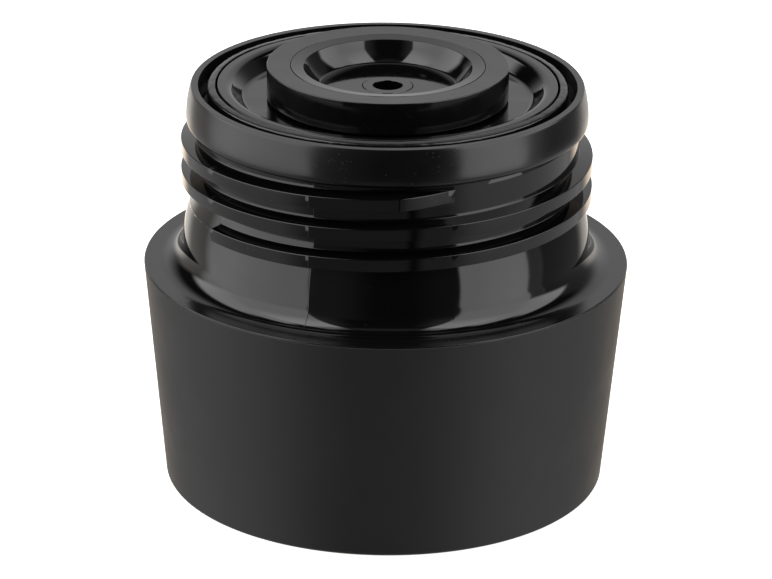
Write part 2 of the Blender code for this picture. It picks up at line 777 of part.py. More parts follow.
def make_latch_pin(parts, material):
    """Wire pin: pivot tail, straight leg and a tip in the cam track, in the plane X = 0."""
    bend = PIN_BEND_R
    upper = arc((PIN_Y + bend, PIVOT_Z - bend), bend, 90.0, 180.0, 4)
    lower = arc((PIN_Y + bend, TRACK_TOP_Z + bend), bend, 180.0, 270.0, 4)
    route = [(PIN_TAIL_Y, PIVOT_Z), *upper, *lower, (PIN_TIP_Y, TRACK_TOP_Z)]
    pivot = (0.0, PIN_Y, PIVOT_Z)
    points = [(0.0, y - pivot[1], z - pivot[2]) for y, z in route]
    pin = wire("latch_pin", points, PIN_WIRE_R, parts, material)
    pin.location = [part * MM for part in pivot]
    return pin


def make_stem_screw(parts, material):
    """Screw with its head up in the stem and its point in the button's post."""
    head_z = STEM_STEP_Z + GAP
    top_z = head_z + STEM_SCREW_HEAD_HIGH
    low_z = POST_HOLE_END_Z + SCREW_POINT
    outline = [
        (0.0, top_z),
        (STEM_SCREW_HEAD_R, top_z),
        (STEM_SCREW_HEAD_R, head_z),
        (STEM_SCREW_SHANK_R, head_z),
        (STEM_SCREW_SHANK_R, low_z + SCREW_POINT),
        (0.0, low_z),
    ]
    return turned("stem_screw", outline, SMALL, parts, material, closed=False)


def make_case_screws(parts, material):
    """Three screws, heads down, from the pour bowl into the body's bosses."""
    head_z = BOWL_FLOOR_Z - GAP
    crown_z = -CASE_SCREW_HEAD_HIGH - CASE_SCREW_CROWN_HIGH
    outline = [
        (0.0, CASE_SCREW_LENGTH),
        (CASE_SCREW_SHANK_R, CASE_SCREW_LENGTH - SCREW_POINT),
        (CASE_SCREW_SHANK_R, 0.0),
        (CASE_SCREW_HEAD_R, 0.0),
        (CASE_SCREW_HEAD_R, -CASE_SCREW_HEAD_HIGH),
        (CASE_SCREW_CROWN_R, crown_z),
        (0.0, crown_z),
    ]
    for index, _, x, y in boss_places():
        screw = turned(f"case_screw_{index + 1}", outline, SMALL, parts, material, closed=False)
        screw.location = (x * MM, y * MM, head_z * MM)


def make_o_ring(name, ring, parts, material):
    """A rubber ring of round section."""
    mean_r, height, section_r = ring
    section = arc((mean_r, height), section_r, 90.0, -210.0, 5)
    return turned(name, section, COARSE, parts, material)


def make_spring_washer(parts, material):
    inner_r = GUIDE_BORE_R + GAP
    low, high = WASHER_Z
    outline = [(inner_r, high), (WASHER_R, high), (WASHER_R, low), (inner_r, low)]
    return turned("spring_washer", outline, COARSE, parts, material)


def make_neck_insulation(parts, material):
    """Foam ring between the pour tube and the neck."""
    outer_r = PLUG_R - SKIRT_WALL - GAP
    wide_r = NECK_BORE_R - GAP
    top_z = SEAT_Z - SEAT_THICK - GAP
    low_z = CAP_HEIGHT + GAP
    slope_top_z = LEDGE_Z - LEDGE_THICK - FOAM_GAP
    outline = [
        (WEB_HOLE_R, top_z),
        (outer_r, top_z),
        (outer_r, slope_top_z),
        (wide_r, slope_top_z - LEDGE_SLOPE),
        (wide_r, low_z),
        (WEB_HOLE_R, low_z),
    ]
    return turned("neck_insulation", outline, COARSE, parts, material)


def make_cap_insulation(parts, material):
    """Foam ring between the pour bowl and the grip cap."""
    low = CAP_FOAM_LOW_Z
    high = CAP_HEIGHT - FLANGE_THICK - 2.0 * GAP
    inner_r = BOWL_R + BOWL_WALL + FOAM_GAP
    clearance = CAP_WALL + FOAM_GAP
    outline = [
        (inner_r, high),
        (cap_radius(high) - clearance, high),
        (cap_radius(low) - clearance, low),
        (inner_r, low),
    ]
    return turned("cap_insulation", outline, COARSE, parts, material)


def main():
    clear_scene()
    parts = new_collection(MODEL_NAME)
    helpers = new_collection("cutters")
    matte = principled("matte_grip", (0.012, 0.012, 0.013), 0.55)
    gloss = principled("gloss_black", (0.006, 0.006, 0.007), 0.12)
    insert = principled("bowl_black", (0.010, 0.010, 0.011), 0.3)
    gasket = principled("gasket_rubber", (0.012, 0.012, 0.014), 0.3)
    seal = principled("seal_rubber", (0.02, 0.02, 0.021), 0.6)
    stem = principled("stem_black", (0.010, 0.010, 0.011), 0.25)
    pad = principled("pad_grey", (0.03, 0.03, 0.032), 0.45)
    acetal = principled("guide_white", (0.75, 0.75, 0.72), 0.4)
    steel = principled("steel", (0.55, 0.55, 0.56), 0.3, 1.0)
    foam = principled("foam_cream", (0.75, 0.70, 0.55), 0.9)

    make_outer_cap(parts, matte)
    make_stopper_body(parts, helpers, gloss)
    make_neck_gasket(parts, gasket)
    make_plug_end(parts, gloss)
    make_valve_plate(parts, gloss)
    make_valve_seal(parts, seal)
    make_valve_stem(parts, stem)
    make_cap_insert(parts, helpers, insert)
    make_push_button(parts, matte)
    make_button_pad(parts, pad)
    make_stem_guide(parts, helpers, acetal)
    make_return_spring(parts, steel)
    make_spring_washer(parts, steel)
    make_latch_cam(parts, helpers, acetal)
    make_latch_pin(parts, steel)
    make_stem_screw(parts, steel)
    make_case_screws(parts, steel)
    make_o_ring("stem_o_ring", STEM_O_RING, parts, seal)
    make_o_ring("throat_o_ring", THROAT_O_RING, parts, seal)
    make_o_ring("bowl_seal", BOWL_SEAL, parts, seal)
    make_neck_insulation(parts, foam)
    make_cap_insulation(parts, foam)


main()
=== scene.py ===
import json
import math

import bmesh
import bpy
import numpy as np
from mathutils import Matrix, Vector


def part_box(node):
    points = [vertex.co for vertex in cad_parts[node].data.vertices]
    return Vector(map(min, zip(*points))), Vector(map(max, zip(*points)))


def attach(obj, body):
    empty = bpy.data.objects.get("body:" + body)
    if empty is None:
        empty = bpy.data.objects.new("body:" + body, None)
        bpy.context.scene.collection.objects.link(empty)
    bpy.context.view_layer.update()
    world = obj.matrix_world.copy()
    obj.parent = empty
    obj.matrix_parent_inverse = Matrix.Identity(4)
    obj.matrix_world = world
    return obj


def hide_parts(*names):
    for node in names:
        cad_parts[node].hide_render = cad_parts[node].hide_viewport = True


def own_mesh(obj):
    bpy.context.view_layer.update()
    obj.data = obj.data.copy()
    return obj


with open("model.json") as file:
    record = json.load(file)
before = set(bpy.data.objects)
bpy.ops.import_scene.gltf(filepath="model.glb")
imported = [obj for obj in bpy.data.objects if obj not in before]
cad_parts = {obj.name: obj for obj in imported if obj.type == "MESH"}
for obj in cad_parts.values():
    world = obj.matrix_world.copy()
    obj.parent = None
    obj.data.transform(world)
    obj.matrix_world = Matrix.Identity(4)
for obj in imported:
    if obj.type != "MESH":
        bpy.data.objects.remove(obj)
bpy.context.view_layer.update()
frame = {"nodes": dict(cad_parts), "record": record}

# The stopper stands on its grip cap, +Z up. Outlines are (radius, height) in millimetres.
MM = 0.001

FRONT_DEG = -90.0
ROUND_SEGMENTS = 288
RING_SEGMENTS = 96


def radius_of(node):
    """A round CAD node's outer radius, in millimetres."""
    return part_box(node)[1].x / MM


def low_of(node):
    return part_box(node)[0].z / MM


def high_of(node):
    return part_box(node)[1].z / MM


# ---------------------------------------------------------------- meshes


def arc(center, radius, start_deg, end_deg, count):
    """Points of an arc in an outline, both ends included."""
    points = []
    for step in range(count + 1):
        angle = math.radians(start_deg + (end_deg - start_deg) * step / count)
        points.append((center[0] + radius * math.cos(angle), center[1] + radius * math.sin(angle)))
    return points


def rounded(outline, rounds, steps=5):
    """An outline with some corners rounded: rounds maps a point's index to its radius."""
    points = []
    count = len(outline)
    for index, corner in enumerate(outline):
        radius = rounds.get(index, 0.0)
        if radius == 0.0:
            points.append(corner)
            continue
        here = np.array(corner)
        to_last = np.array(outline[index - 1]) - here
        to_next = np.array(outline[(index + 1) % count]) - here
        to_last = to_last / np.linalg.norm(to_last)
        to_next = to_next / np.linalg.norm(to_next)
        half = math.acos(max(-1.0, min(1.0, float(to_last @ to_next)))) / 2.0
        reach = radius / math.tan(half)
        middle = to_last + to_next
        center = here + middle / np.linalg.norm(middle) * radius / math.sin(half)
        start = here + to_last * reach - center
        end = here + to_next * reach - center
        turn = math.pi - 2.0 * half
        for step in range(steps + 1):
            share = step / steps
            a = math.sin((1.0 - share) * turn) / math.sin(turn)
            b = math.sin(share * turn) / math.sin(turn)
            points.append(tuple(center + start * a + end * b))
    return points


def new_object(name, mesh):
    item = bpy.data.objects.new(name, mesh)
    bpy.context.scene.collection.objects.link(item)
    return item


def smooth(item, sharp_deg=40.0):
    """Smooth shading with flats kept flat, and sharp edges past an angle."""
    item.data.shade_smooth()
    item.data.set_sharp_from_angle(angle=math.radians(sharp_deg))
    normals = item.modifiers.new("normals", "WEIGHTED_NORMAL")
    normals.mode = "FACE_AREA"
    normals.weight = 50
    normals.keep_sharp = True
    return item


MERGE_M = 1e-7
THIN_M = 1e-8


def clean_mesh(name, mesh):
    """Merge doubled points, drop faces with no area and turn every face outward."""
    solid = bmesh.new()
    solid.from_mesh(mesh)
    bmesh.ops.remove_doubles(solid, verts=solid.verts, dist=MERGE_M)
    bmesh.ops.dissolve_degenerate(solid, edges=solid.edges, dist=THIN_M)
    bmesh.ops.recalc_face_normals(solid, faces=solid.faces)
    solid.to_mesh(mesh)
    solid.free()
    mesh.name = name
    return mesh


def turned(name, outline, segments=ROUND_SEGMENTS, shape=None, closed=True):
    """A turned solid. shape(angle, radius, height) may give each point a small offset."""
    angles = np.arange(segments) * 2.0 * math.pi / segments
    points = []
    for angle in angles:
        for radius, height in outline:
            r, z = radius, height
            if shape is not None and radius > 0.0:
                dr, dz = shape(angle, radius, height)
                r, z = radius + dr, height + dz
            points.append((r * math.cos(angle) * MM, r * math.sin(angle) * MM, z * MM))
    count = len(outline)
    faces = []
    spans = count if closed else count - 1
    for column in range(segments):
        here = column * count
        there = ((column + 1) % segments) * count
        for row in range(spans):
            after = (row + 1) % count
            faces.append((here + row, here + after, there + after, there + row))
    mesh = bpy.data.meshes.new(name)
    mesh.from_pydata(points, [], faces)
    return smooth(new_object(name, clean_mesh(name, mesh)))


def as_mesh(item):
    """A new mesh of an object as its curve settings or modifiers make it."""
    bpy.context.view_layer.update()
    return bpy.data.meshes.new_from_object(item.evaluated_get(bpy.context.evaluated_depsgraph_get()))


def boolean(target, tool, operation):
    """Add or cut a helper on a target for good, and remove the helper."""
    target.modifiers.clear()
    modifier = target.modifiers.new("cut", "BOOLEAN")
    modifier.operation = operation
    modifier.object = tool
    modifier.solver = "EXACT"
    made = as_mesh(target)
    target.modifiers.clear()
    target.data = made
    bpy.data.objects.remove(tool)
    smooth(target)


def rod(name, x, y, low, high, radius, segments=RING_SEGMENTS // 2):
    """An upright round rod, used to add or cut a round shape."""
    mesh = bpy.data.meshes.new(name)
    solid = bmesh.new()
    bmesh.ops.create_cone(
        solid,
        cap_ends=True,
        segments=segments,
        radius1=radius * MM,
        radius2=radius * MM,
        depth=(high - low) * MM,
        matrix=Matrix.Translation((x * MM, y * MM, (low + high) / 2.0 * MM)),
    )
    solid.to_mesh(mesh)
    solid.free()
    return new_object(name, mesh)


# ---------------------------------------------------------------- grip cap

CAP_TOP_R = radius_of("outer_cap")
CAP_HEIGHT = high_of("outer_cap")
CAP_TAPER = 0.0918
CAP_WALL = 2.3
CAP_FOOT_ROUND = 0.8
CAP_TOP_ROUND = 0.12
CAP_EDGE_DROP = 0.22
CAP_LEDGE_R = 41.3
CAP_LEDGE_DEPTH = 2.4
RIM_INNER_R = 34.6
RIM_THICK = 2.9
RIM_INNER_ROUND = 0.25


def cap_radius(height):
    return CAP_TOP_R - CAP_TAPER * (CAP_HEIGHT - height)


def make_grip_shell():
    """Tapered grip cap: wide edge under the shoulder's lip, round foot, ledge for the shoulder."""
    ledge_r = CAP_LEDGE_R
    ledge_z = CAP_HEIGHT - CAP_LEDGE_DEPTH
    edge_z = CAP_HEIGHT - CAP_EDGE_DROP
    outline = [
        (ledge_r, edge_z),
        (cap_radius(edge_z), edge_z),
        (cap_radius(0.0), 0.0),
        (RIM_INNER_R, 0.0),
        (RIM_INNER_R, RIM_THICK),
        (cap_radius(RIM_THICK) - CAP_WALL, RIM_THICK),
        (cap_radius(ledge_z) - CAP_WALL, ledge_z),
        (ledge_r, ledge_z),
    ]
    rounds = {1: CAP_TOP_ROUND, 2: CAP_FOOT_ROUND, 3: RIM_INNER_ROUND}
    return turned("grip_shell", rounded(outline, rounds))


# ---------------------------------------------------------------- neck and thread

FLANGE_LIP_R = CAP_TOP_R - 0.12
FLANGE_LIP_THICK = 0.2
FLANGE_R = 41.1
FLANGE_ROUND = 0.1
FLANGE_THICK = 2.1
NECK_FOOT_R = 35.22
NECK_FOOT_DEG = 3.0
NECK_FILLET = 4.1
NECK_SIDE_ARC = 26.2
NECK_SIDE_STEPS = 10
CORE_R = 33.1
CORE_BLEND = 6.0
BODY_TOP_Z = high_of("stopper_body")
NECK_BORE_R = 31.0
SKIRT_BORE_R = 29.5
LEDGE_R = 27.8
LEDGE_Z = 57.3
LEDGE_THICK = 2.2
LEDGE_SLOPE = 2.3
WEB_HOLE_R = 16.4

THREAD_PITCH = 5.3
THREAD_CREST_R = 35.45
THREAD_WIDTH = 2.15
THREAD_FLANK_DEG = 15.0
THREAD_TOP_Z = 63.54
THREAD_START_DEG = 19.0
THREAD_SWEEP_DEG = 796.5
THREAD_RUNOUT_DEG = 15.0
THREAD_EDGE = 0.13
THREAD_FLAT = 0.0005
THREAD_ROOT = 0.14
THREAD_END_CORNER = 0.8
THREAD_END_DEG = 0.35
THREAD_END_DROP = 0.12
THREAD_END_ROUND = 0.98
THREAD_END_SPAN_DEG = 1.6
THREAD_END_STEP_DEG = 0.1
THREAD_END_EDGE_DEG = 0.02
THREAD_START_COLUMNS = (0.05, 0.2)
THREAD_FOOT_Z = 48.8
THREAD_FOOT_SHARE = 0.2

PARTING_DEG = -21.2
PARTING_RISE = 0.02
PARTING_HALF_DEG = 0.13
PARTING_COLUMNS = 4

BOSS_COUNT = 3
BOSS_CIRCLE_R = 22.0
BOSS_START_DEG = 30.0
BOSS_R = 3.0
BOSS_HOLE_R = 1.3
BOSS_END_Z = low_of("stopper_body")
BOSS_HOLE_DEPTH = 9.5
SCREW_GAP = 0.3
CUT_PAST = 1.0

foot_lean = math.radians(NECK_FOOT_DEG)
neck_foot_z = CAP_HEIGHT + NECK_FILLET * (1.0 - math.sin(foot_lean))
side_center = (
    NECK_FOOT_R - NECK_SIDE_ARC * math.cos(foot_lean),
    neck_foot_z - NECK_SIDE_ARC * math.sin(foot_lean),
)
fillet_center = (NECK_FOOT_R + NECK_FILLET * math.cos(foot_lean), CAP_HEIGHT + NECK_FILLET)
blend_r = CORE_R + CORE_BLEND
blend_rise = math.sqrt((NECK_SIDE_ARC + CORE_BLEND) ** 2 - (blend_r - side_center[0]) ** 2)
blend_z = side_center[1] + blend_rise
blend_foot_z = side_center[1] + blend_rise * NECK_SIDE_ARC / (NECK_SIDE_ARC + CORE_BLEND)


def core_radius(height):
    """The neck's outer radius without its thread."""
    if height >= blend_z:
        return CORE_R
    if height >= blend_foot_z:
        return blend_r - math.sqrt(CORE_BLEND**2 - (height - blend_z) ** 2)
    return side_center[0] + math.sqrt(NECK_SIDE_ARC**2 - (height - side_center[1]) ** 2)


def rib_height(turned_deg):
    """Share of the rib's full height: it rises over the run-out and ends in a blunt end."""
    if turned_deg <= 0.0 or turned_deg >= THREAD_SWEEP_DEG:
        return 0.0
    if turned_deg < THREAD_RUNOUT_DEG:
        return turned_deg / THREAD_RUNOUT_DEG
    left = THREAD_SWEEP_DEG - turned_deg
    if left < THREAD_END_DEG:
        share = 1.0 - left / THREAD_END_DEG
        return 1.0 - THREAD_END_DROP * (1.0 - math.sqrt(1.0 - share * share * THREAD_END_ROUND))
    return 1.0


def rib_half_width(turned_deg):
    """Half the rib's width, with rounded corners at its blunt end."""
    half = THREAD_WIDTH / 2.0
    left = (THREAD_SWEEP_DEG - turned_deg) * math.radians(1.0) * THREAD_CREST_R
    into = THREAD_END_CORNER - max(left, 0.0)
    if into <= 0.0:
        return half
    return half - THREAD_END_CORNER + math.sqrt(max(THREAD_END_CORNER**2 - into**2, 0.0))


def rib_section(turned_deg, full_rise):
    """One pitch of the thread at a turn: (drop below the pitch's start, rise over the core)."""
    half = rib_half_width(turned_deg)
    rise = max(full_rise * rib_height(turned_deg), THREAD_FLAT)
    spread = rise * math.tan(math.radians(THREAD_FLANK_DEG))
    middle = THREAD_PITCH / 2.0
    top, low = middle - half, middle + half
    root_top, root_low = top - spread, low + spread
    outline = [
        (0.0, 0.0),
        (root_top / 2.0, 0.0),
        (root_top, 0.0),
        (top, rise),
        (middle, rise),
        (low, rise),
        (root_low, 0.0),
        ((root_low + THREAD_PITCH) / 2.0, 0.0),
    ]
    edge = min(THREAD_EDGE, rise / 3.0)
    root = min(THREAD_ROOT, rise / 3.0)
    return rounded(outline, {2: root, 3: edge, 5: edge, 6: root}, 4)


def thread_columns():
    """Turn angles of the neck's columns, closer together where the thread or seam needs it."""
    columns = {round(step * 360.0 / ROUND_SEGMENTS, 4) for step in range(ROUND_SEGMENTS)}
    columns |= {*THREAD_START_COLUMNS, THREAD_RUNOUT_DEG}
    end = THREAD_SWEEP_DEG % 360.0
    for step in range(round(THREAD_END_SPAN_DEG / THREAD_END_STEP_DEG) + 1):
        columns.add(round(end - THREAD_END_SPAN_DEG + step * THREAD_END_STEP_DEG, 4))
    columns.add(round(end - THREAD_END_EDGE_DEG, 4))
    for seam in parting_turns():
        for step in range(-PARTING_COLUMNS, PARTING_COLUMNS + 1):
            columns.add(round(seam + step * PARTING_HALF_DEG / (PARTING_COLUMNS - 1), 4))
    return sorted(columns)


def parting_turns():
    """The parting line's two places, as turns from the thread's start."""
    first = (THREAD_START_DEG - PARTING_DEG) % 360.0
    return first, (first + 180.0) % 360.0


def parting_rise(turn_deg):
    """Height of the fine ridge that the mould's parting line leaves."""
    rise = 0.0
    for seam in parting_turns():
        away = abs(turn_deg - seam)
        if away < PARTING_HALF_DEG:
            rise = PARTING_RISE * math.cos(math.pi / 2.0 * away / PARTING_HALF_DEG)
    return rise


def ridge_offset(ridge, radius, height, meets_thread):
    """The parting ridge on the body: outward on the neck, upward on the shoulder, none inside."""
    if meets_thread:
        return ridge, 0.0
    if height < CAP_HEIGHT or radius <= CORE_R:
        return 0.0, 0.0
    if height > CAP_HEIGHT + NECK_FILLET / 3.0:
        return ridge, 0.0
    return 0.0, ridge


def turn_to_xy(radius, turn_deg):
    """A point on the neck: turns run clockwise, seen from above, from the thread's start."""
    angle = math.radians(FRONT_DEG + THREAD_START_DEG - turn_deg)
    return radius * math.cos(angle) * MM, radius * math.sin(angle) * MM


def make_neck_and_thread():
    """Shoulder, neck and thread in one skin whose rows follow the thread's helix."""
    columns = thread_columns()
    top_z = BODY_TOP_Z
    foot_z = THREAD_FOOT_Z
    rows_per_pitch = len(rib_section(0.0, 1.0))
    pitches = int((top_z - foot_z) / THREAD_PITCH) + 3
    start_z = THREAD_TOP_Z + (THREAD_PITCH - THREAD_WIDTH) / 2.0 + THREAD_PITCH
    points = []
    for turn in columns:
        ridge = parting_rise(turn)
        x_unit, y_unit = turn_to_xy(1.0, turn)
        for pitch in range(pitches):
            turned_deg = (pitch - 1) * 360.0 + turn
            cell_z = start_z - (turned_deg + 360.0) / 360.0 * THREAD_PITCH
            middle_z = min(max(cell_z - THREAD_PITCH / 2.0, foot_z), top_z)
            full_rise = THREAD_CREST_R - core_radius(middle_z)
            for drop, rise in rib_section(turned_deg, full_rise):
                z = min(max(cell_z - drop, foot_z), top_z)
                flat = z in (foot_z, top_z)
                base = core_radius(z) if rise < full_rise * THREAD_FOOT_SHARE else core_radius(middle_z)
                r = (core_radius(z) if flat else base + rise) + ridge
                points.append((x_unit * r, y_unit * r, z * MM))
    column_rows = rows_per_pitch * pitches
    faces = []
    for column in range(len(columns)):
        last = column == len(columns) - 1
        for row in range(column_rows - 1):
            here = column * column_rows
            if last:
                there_a = min(row + rows_per_pitch, column_rows - 1)
                there_b = min(row + 1 + rows_per_pitch, column_rows - 1)
            else:
                there_a = (column + 1) * column_rows + row
                there_b = (column + 1) * column_rows + row + 1
            faces.append((here + row, here + row + 1, there_b, there_a))
    outline = body_outline(foot_z, top_z)
    ring_start = len(points)
    rows = len(outline)
    for turn in columns:
        ridge = parting_rise(turn)
        for index, (radius, z) in enumerate(outline):
            meets_thread = index in (0, rows - 1)
            out, up = ridge_offset(ridge, radius, z, meets_thread)
            x, y = turn_to_xy(radius + out, turn)
            points.append((x, y, (z + up) * MM))
    for column in range(len(columns)):
        here = ring_start + column * rows
        there = ring_start + ((column + 1) % len(columns)) * rows
        for row in range(rows - 1):
            faces.append((here + row, here + row + 1, there + row + 1, there + row))
    mesh = bpy.data.meshes.new("neck_and_thread")
    mesh.from_pydata(points, [], faces)
    body = smooth(new_object("neck_and_thread", clean_mesh("neck_and_thread", mesh)))
    add_bosses(body)
    return body


def body_outline(foot_z, top_z):
    """The body's outline from the thread's foot, round the shoulder and back up inside."""
    side = []
    for step in range(NECK_SIDE_STEPS + 1):
        z = foot_z + (neck_foot_z - foot_z) * step / NECK_SIDE_STEPS
        side.append((core_radius(z), z))
    fillet = arc(fillet_center, NECK_FILLET, 180.0 + NECK_FOOT_DEG, 270.0, 22)
    under_z = CAP_HEIGHT - FLANGE_THICK
    edge_center = (FLANGE_LIP_R - FLANGE_ROUND, CAP_HEIGHT - FLANGE_ROUND)
    edge = arc(edge_center, FLANGE_ROUND, 90.0, 0.0, 4)
    inside = [
        (FLANGE_LIP_R, CAP_HEIGHT - FLANGE_LIP_THICK),
        (FLANGE_R, CAP_HEIGHT - FLANGE_LIP_THICK),
        (FLANGE_R, under_z),
        (WEB_HOLE_R, under_z),
        (WEB_HOLE_R, CAP_HEIGHT),
        (NECK_BORE_R, CAP_HEIGHT),
        (NECK_BORE_R, LEDGE_Z - LEDGE_THICK - LEDGE_SLOPE),
        (LEDGE_R, LEDGE_Z - LEDGE_THICK),
        (LEDGE_R, LEDGE_Z),
        (SKIRT_BORE_R, LEDGE_Z),
        (SKIRT_BORE_R, top_z),
        (CORE_R, top_z),
    ]
    return side + fillet[1:] + edge + inside


def boss_places():
    for index in range(BOSS_COUNT):
        angle = math.radians(BOSS_START_DEG + 360.0 * index / BOSS_COUNT)
        yield BOSS_CIRCLE_R * math.cos(angle), BOSS_CIRCLE_R * math.sin(angle)


def add_bosses(body):
    """Screw bosses under the shoulder, each with its hole."""
    under_z = CAP_HEIGHT - FLANGE_THICK
    hole_end_z = BOSS_END_Z + BOSS_HOLE_DEPTH
    for x, y in boss_places():
        boolean(body, rod("boss", x, y, BOSS_END_Z, under_z + CUT_PAST, BOSS_R), "UNION")
    for x, y in boss_places():
        boolean(body, rod("hole", x, y, BOSS_END_Z - CUT_PAST, hole_end_z, BOSS_HOLE_R), "DIFFERENCE")


# ---------------------------------------------------------------- gasket

GASKET_FOOT_Z = low_of("neck_gasket")
GASKET_OUTER_R = radius_of("neck_gasket")
GASKET_TOP_Z = high_of("neck_gasket") - 0.1
GASKET_SIDE_ARC = 19.1
GASKET_SIDE_DEG = 16.1
GASKET_FOOT_ROUND = 0.95
GASKET_FLOOR_Z = 66.8
GROOVE_OUTER_R = 32.4
GROOVE_INNER_R = 30.9
GASKET_INNER_R = 29.55
GROOVE_CORNER = 0.4
LEG_RISE = 0.08
LIP_EDGE = 0.16
LIP_ROUND = 0.1
LIP_CHAMFER = (0.1, 0.12)
LEG_FREE_Z = GASKET_FLOOR_Z + 1.0
LEG_INNER_R = GROOVE_INNER_R - 0.5
LEG_INNER_SHARE = 0.35
LEG_SHRINK = 0.02
RAGGED_DROP = 1.2
RAGGED_WAVES = ((53, 0.02, 0.3), (91, 0.02, 1.7), (137, 0.015, 0.9))
LEAN_WAVES = ((2, 0.03, 0.4), (5, 0.03, 2.1), (9, 0.02, 4.0))


def ripple(angle, terms):
    """A smooth closed wave round the axis: terms are (waves per turn, height, phase)."""
    return sum(height * math.sin(waves * angle + phase) for waves, height, phase in terms)


def gasket_shape(angle, radius, height):
    """Uneven rubber: the inner leg leans and its edge is a little ragged."""
    if radius > GROOVE_OUTER_R - 0.2 or height < LEG_FREE_Z:
        return 0.0, 0.0
    ragged = ripple(angle, RAGGED_WAVES)
    lean = ripple(angle, LEAN_WAVES)
    top = (height - GASKET_FLOOR_Z) / (GASKET_TOP_Z - GASKET_FLOOR_Z)
    inner = LEG_INNER_SHARE if radius < LEG_INNER_R else 1.0
    return (lean + ragged) * top * inner - LEG_SHRINK, -abs(ragged) * RAGGED_DROP


def make_lip_gasket():
    """Rubber seal: bulging outer side, chamfered lip, deep groove and rough inner leg."""
    widest_z = GASKET_FOOT_Z + GASKET_FOOT_ROUND
    side_arc = arc((GASKET_OUTER_R - GASKET_SIDE_ARC, widest_z), GASKET_SIDE_ARC, GASKET_SIDE_DEG, 0.0, 16)
    foot = arc((GASKET_OUTER_R - GASKET_FOOT_ROUND, widest_z), GASKET_FOOT_ROUND, 0.0, -90.0, 8)
    rim_r, rim_z = side_arc[0]
    leg_z = GASKET_TOP_Z + LEG_RISE
    lip_in, lip_down = LIP_CHAMFER
    inner = [
        (GASKET_INNER_R, GASKET_FOOT_Z),
        (GASKET_INNER_R, leg_z - 0.1),
        (GASKET_INNER_R + 0.1, leg_z),
        (GASKET_INNER_R + 0.45, leg_z - 0.02),
        (GROOVE_INNER_R - 0.35, leg_z - 0.12),
        (GROOVE_INNER_R - 0.08, leg_z - 0.3),
        (GROOVE_INNER_R, leg_z - 0.5),
        (GROOVE_INNER_R, GASKET_FLOOR_Z + GROOVE_CORNER),
        (GROOVE_INNER_R + GROOVE_CORNER, GASKET_FLOOR_Z),
        (GROOVE_OUTER_R - GROOVE_CORNER, GASKET_FLOOR_Z),
        (GROOVE_OUTER_R, GASKET_FLOOR_Z + GROOVE_CORNER),
        (GROOVE_OUTER_R, GASKET_TOP_Z - lip_down),
        (GROOVE_OUTER_R + lip_in, GASKET_TOP_Z),
    ]
    lip_corner = [(GROOVE_OUTER_R + 0.3, GASKET_TOP_Z), (rim_r - LIP_EDGE, GASKET_TOP_Z), (rim_r, rim_z)]
    lip = rounded(lip_corner, {1: LIP_ROUND})
    return turned("lip_gasket", [*lip[1:-1], *side_arc, *foot[1:], *inner], shape=gasket_shape)


# ---------------------------------------------------------------- plug end

PLUG_R = radius_of("plug_end")
PLUG_CREST_Z = high_of("plug_end")
PLUG_SKIRT_Z = 57.65
SKIRT_WALL = 1.8
SEAT_Z = 68.75
SEAT_THICK = 1.85
CREST_TOP_R = 28.0
CREST_ROUND = 1.9
CREST_EDGE_ROUND = 0.25
TROUGH_INNER_R = 20.0
TROUGH_FLAT_R = 24.2
TROUGH_ROWS = 6
TROUGH_ROW_STEP = 0.7
TROUGH_FILLET = 1.2
TROUGH_SLOPE_DEG = 35.0
THROAT_R = 11.3
THROAT_WALL = 2.5
THROAT_END_Z = low_of("plug_end")
RING_GROOVE_Z = (58.0, 60.0)
RING_GROOVE_R = 12.5
SINK_DEPTH = 0.05
SINK_OUTER_R = TROUGH_FLAT_R + 1.5
SINK_WAVES = ((8, 0.6, 0.2), (13, 0.3, 1.1))
SEAT_CHAMFER = 0.3


def plug_shape(angle, radius, height):
    """Shallow sink marks in the trough's floor, where ribs meet it from below."""
    if height < SEAT_Z - 0.1 or radius > SINK_OUTER_R or radius < TROUGH_INNER_R:
        return 0.0, 0.0
    across = math.sin(math.pi * (radius - TROUGH_INNER_R) / (SINK_OUTER_R - TROUGH_INNER_R))
    return 0.0, -SINK_DEPTH * across * max(ripple(angle, SINK_WAVES), 0.0)


def make_plug_crown():
    """End moulding: rounded crest, trough with the valve's flat seat, throat and skirt."""
    throat_outer = THROAT_R + THROAT_WALL
    fillet = arc((TROUGH_FLAT_R, SEAT_Z + TROUGH_FILLET), TROUGH_FILLET, -90.0, -TROUGH_SLOPE_DEG, 8)
    crest_center = (CREST_TOP_R, PLUG_CREST_Z - CREST_ROUND)
    crest = arc(crest_center, CREST_ROUND, 180.0 - TROUGH_SLOPE_DEG, 90.0, 10)
    edge_center = (PLUG_R - CREST_EDGE_ROUND, PLUG_CREST_Z - CREST_EDGE_ROUND)
    edge = arc(edge_center, CREST_EDGE_ROUND, 90.0, 0.0, 5)
    floor = [(THROAT_R, SEAT_Z - SEAT_CHAMFER), (THROAT_R + SEAT_CHAMFER, SEAT_Z)]
    floor += [(TROUGH_INNER_R + TROUGH_ROW_STEP * row, SEAT_Z) for row in range(TROUGH_ROWS)]
    inside = [
        (PLUG_R, PLUG_SKIRT_Z),
        (PLUG_R - SKIRT_WALL, PLUG_SKIRT_Z),
        (PLUG_R - SKIRT_WALL, SEAT_Z - SEAT_THICK),
        (throat_outer, SEAT_Z - SEAT_THICK),
        (throat_outer, RING_GROOVE_Z[1]),
        (RING_GROOVE_R, RING_GROOVE_Z[1]),
        (RING_GROOVE_R, RING_GROOVE_Z[0]),
        (throat_outer, RING_GROOVE_Z[0]),
        (throat_outer, THROAT_END_Z),
        (THROAT_R, THROAT_END_Z),
    ]
    return turned("plug_crown", [*floor, *fillet, *crest, *edge, *inside], shape=plug_shape)


# ---------------------------------------------------------------- valve

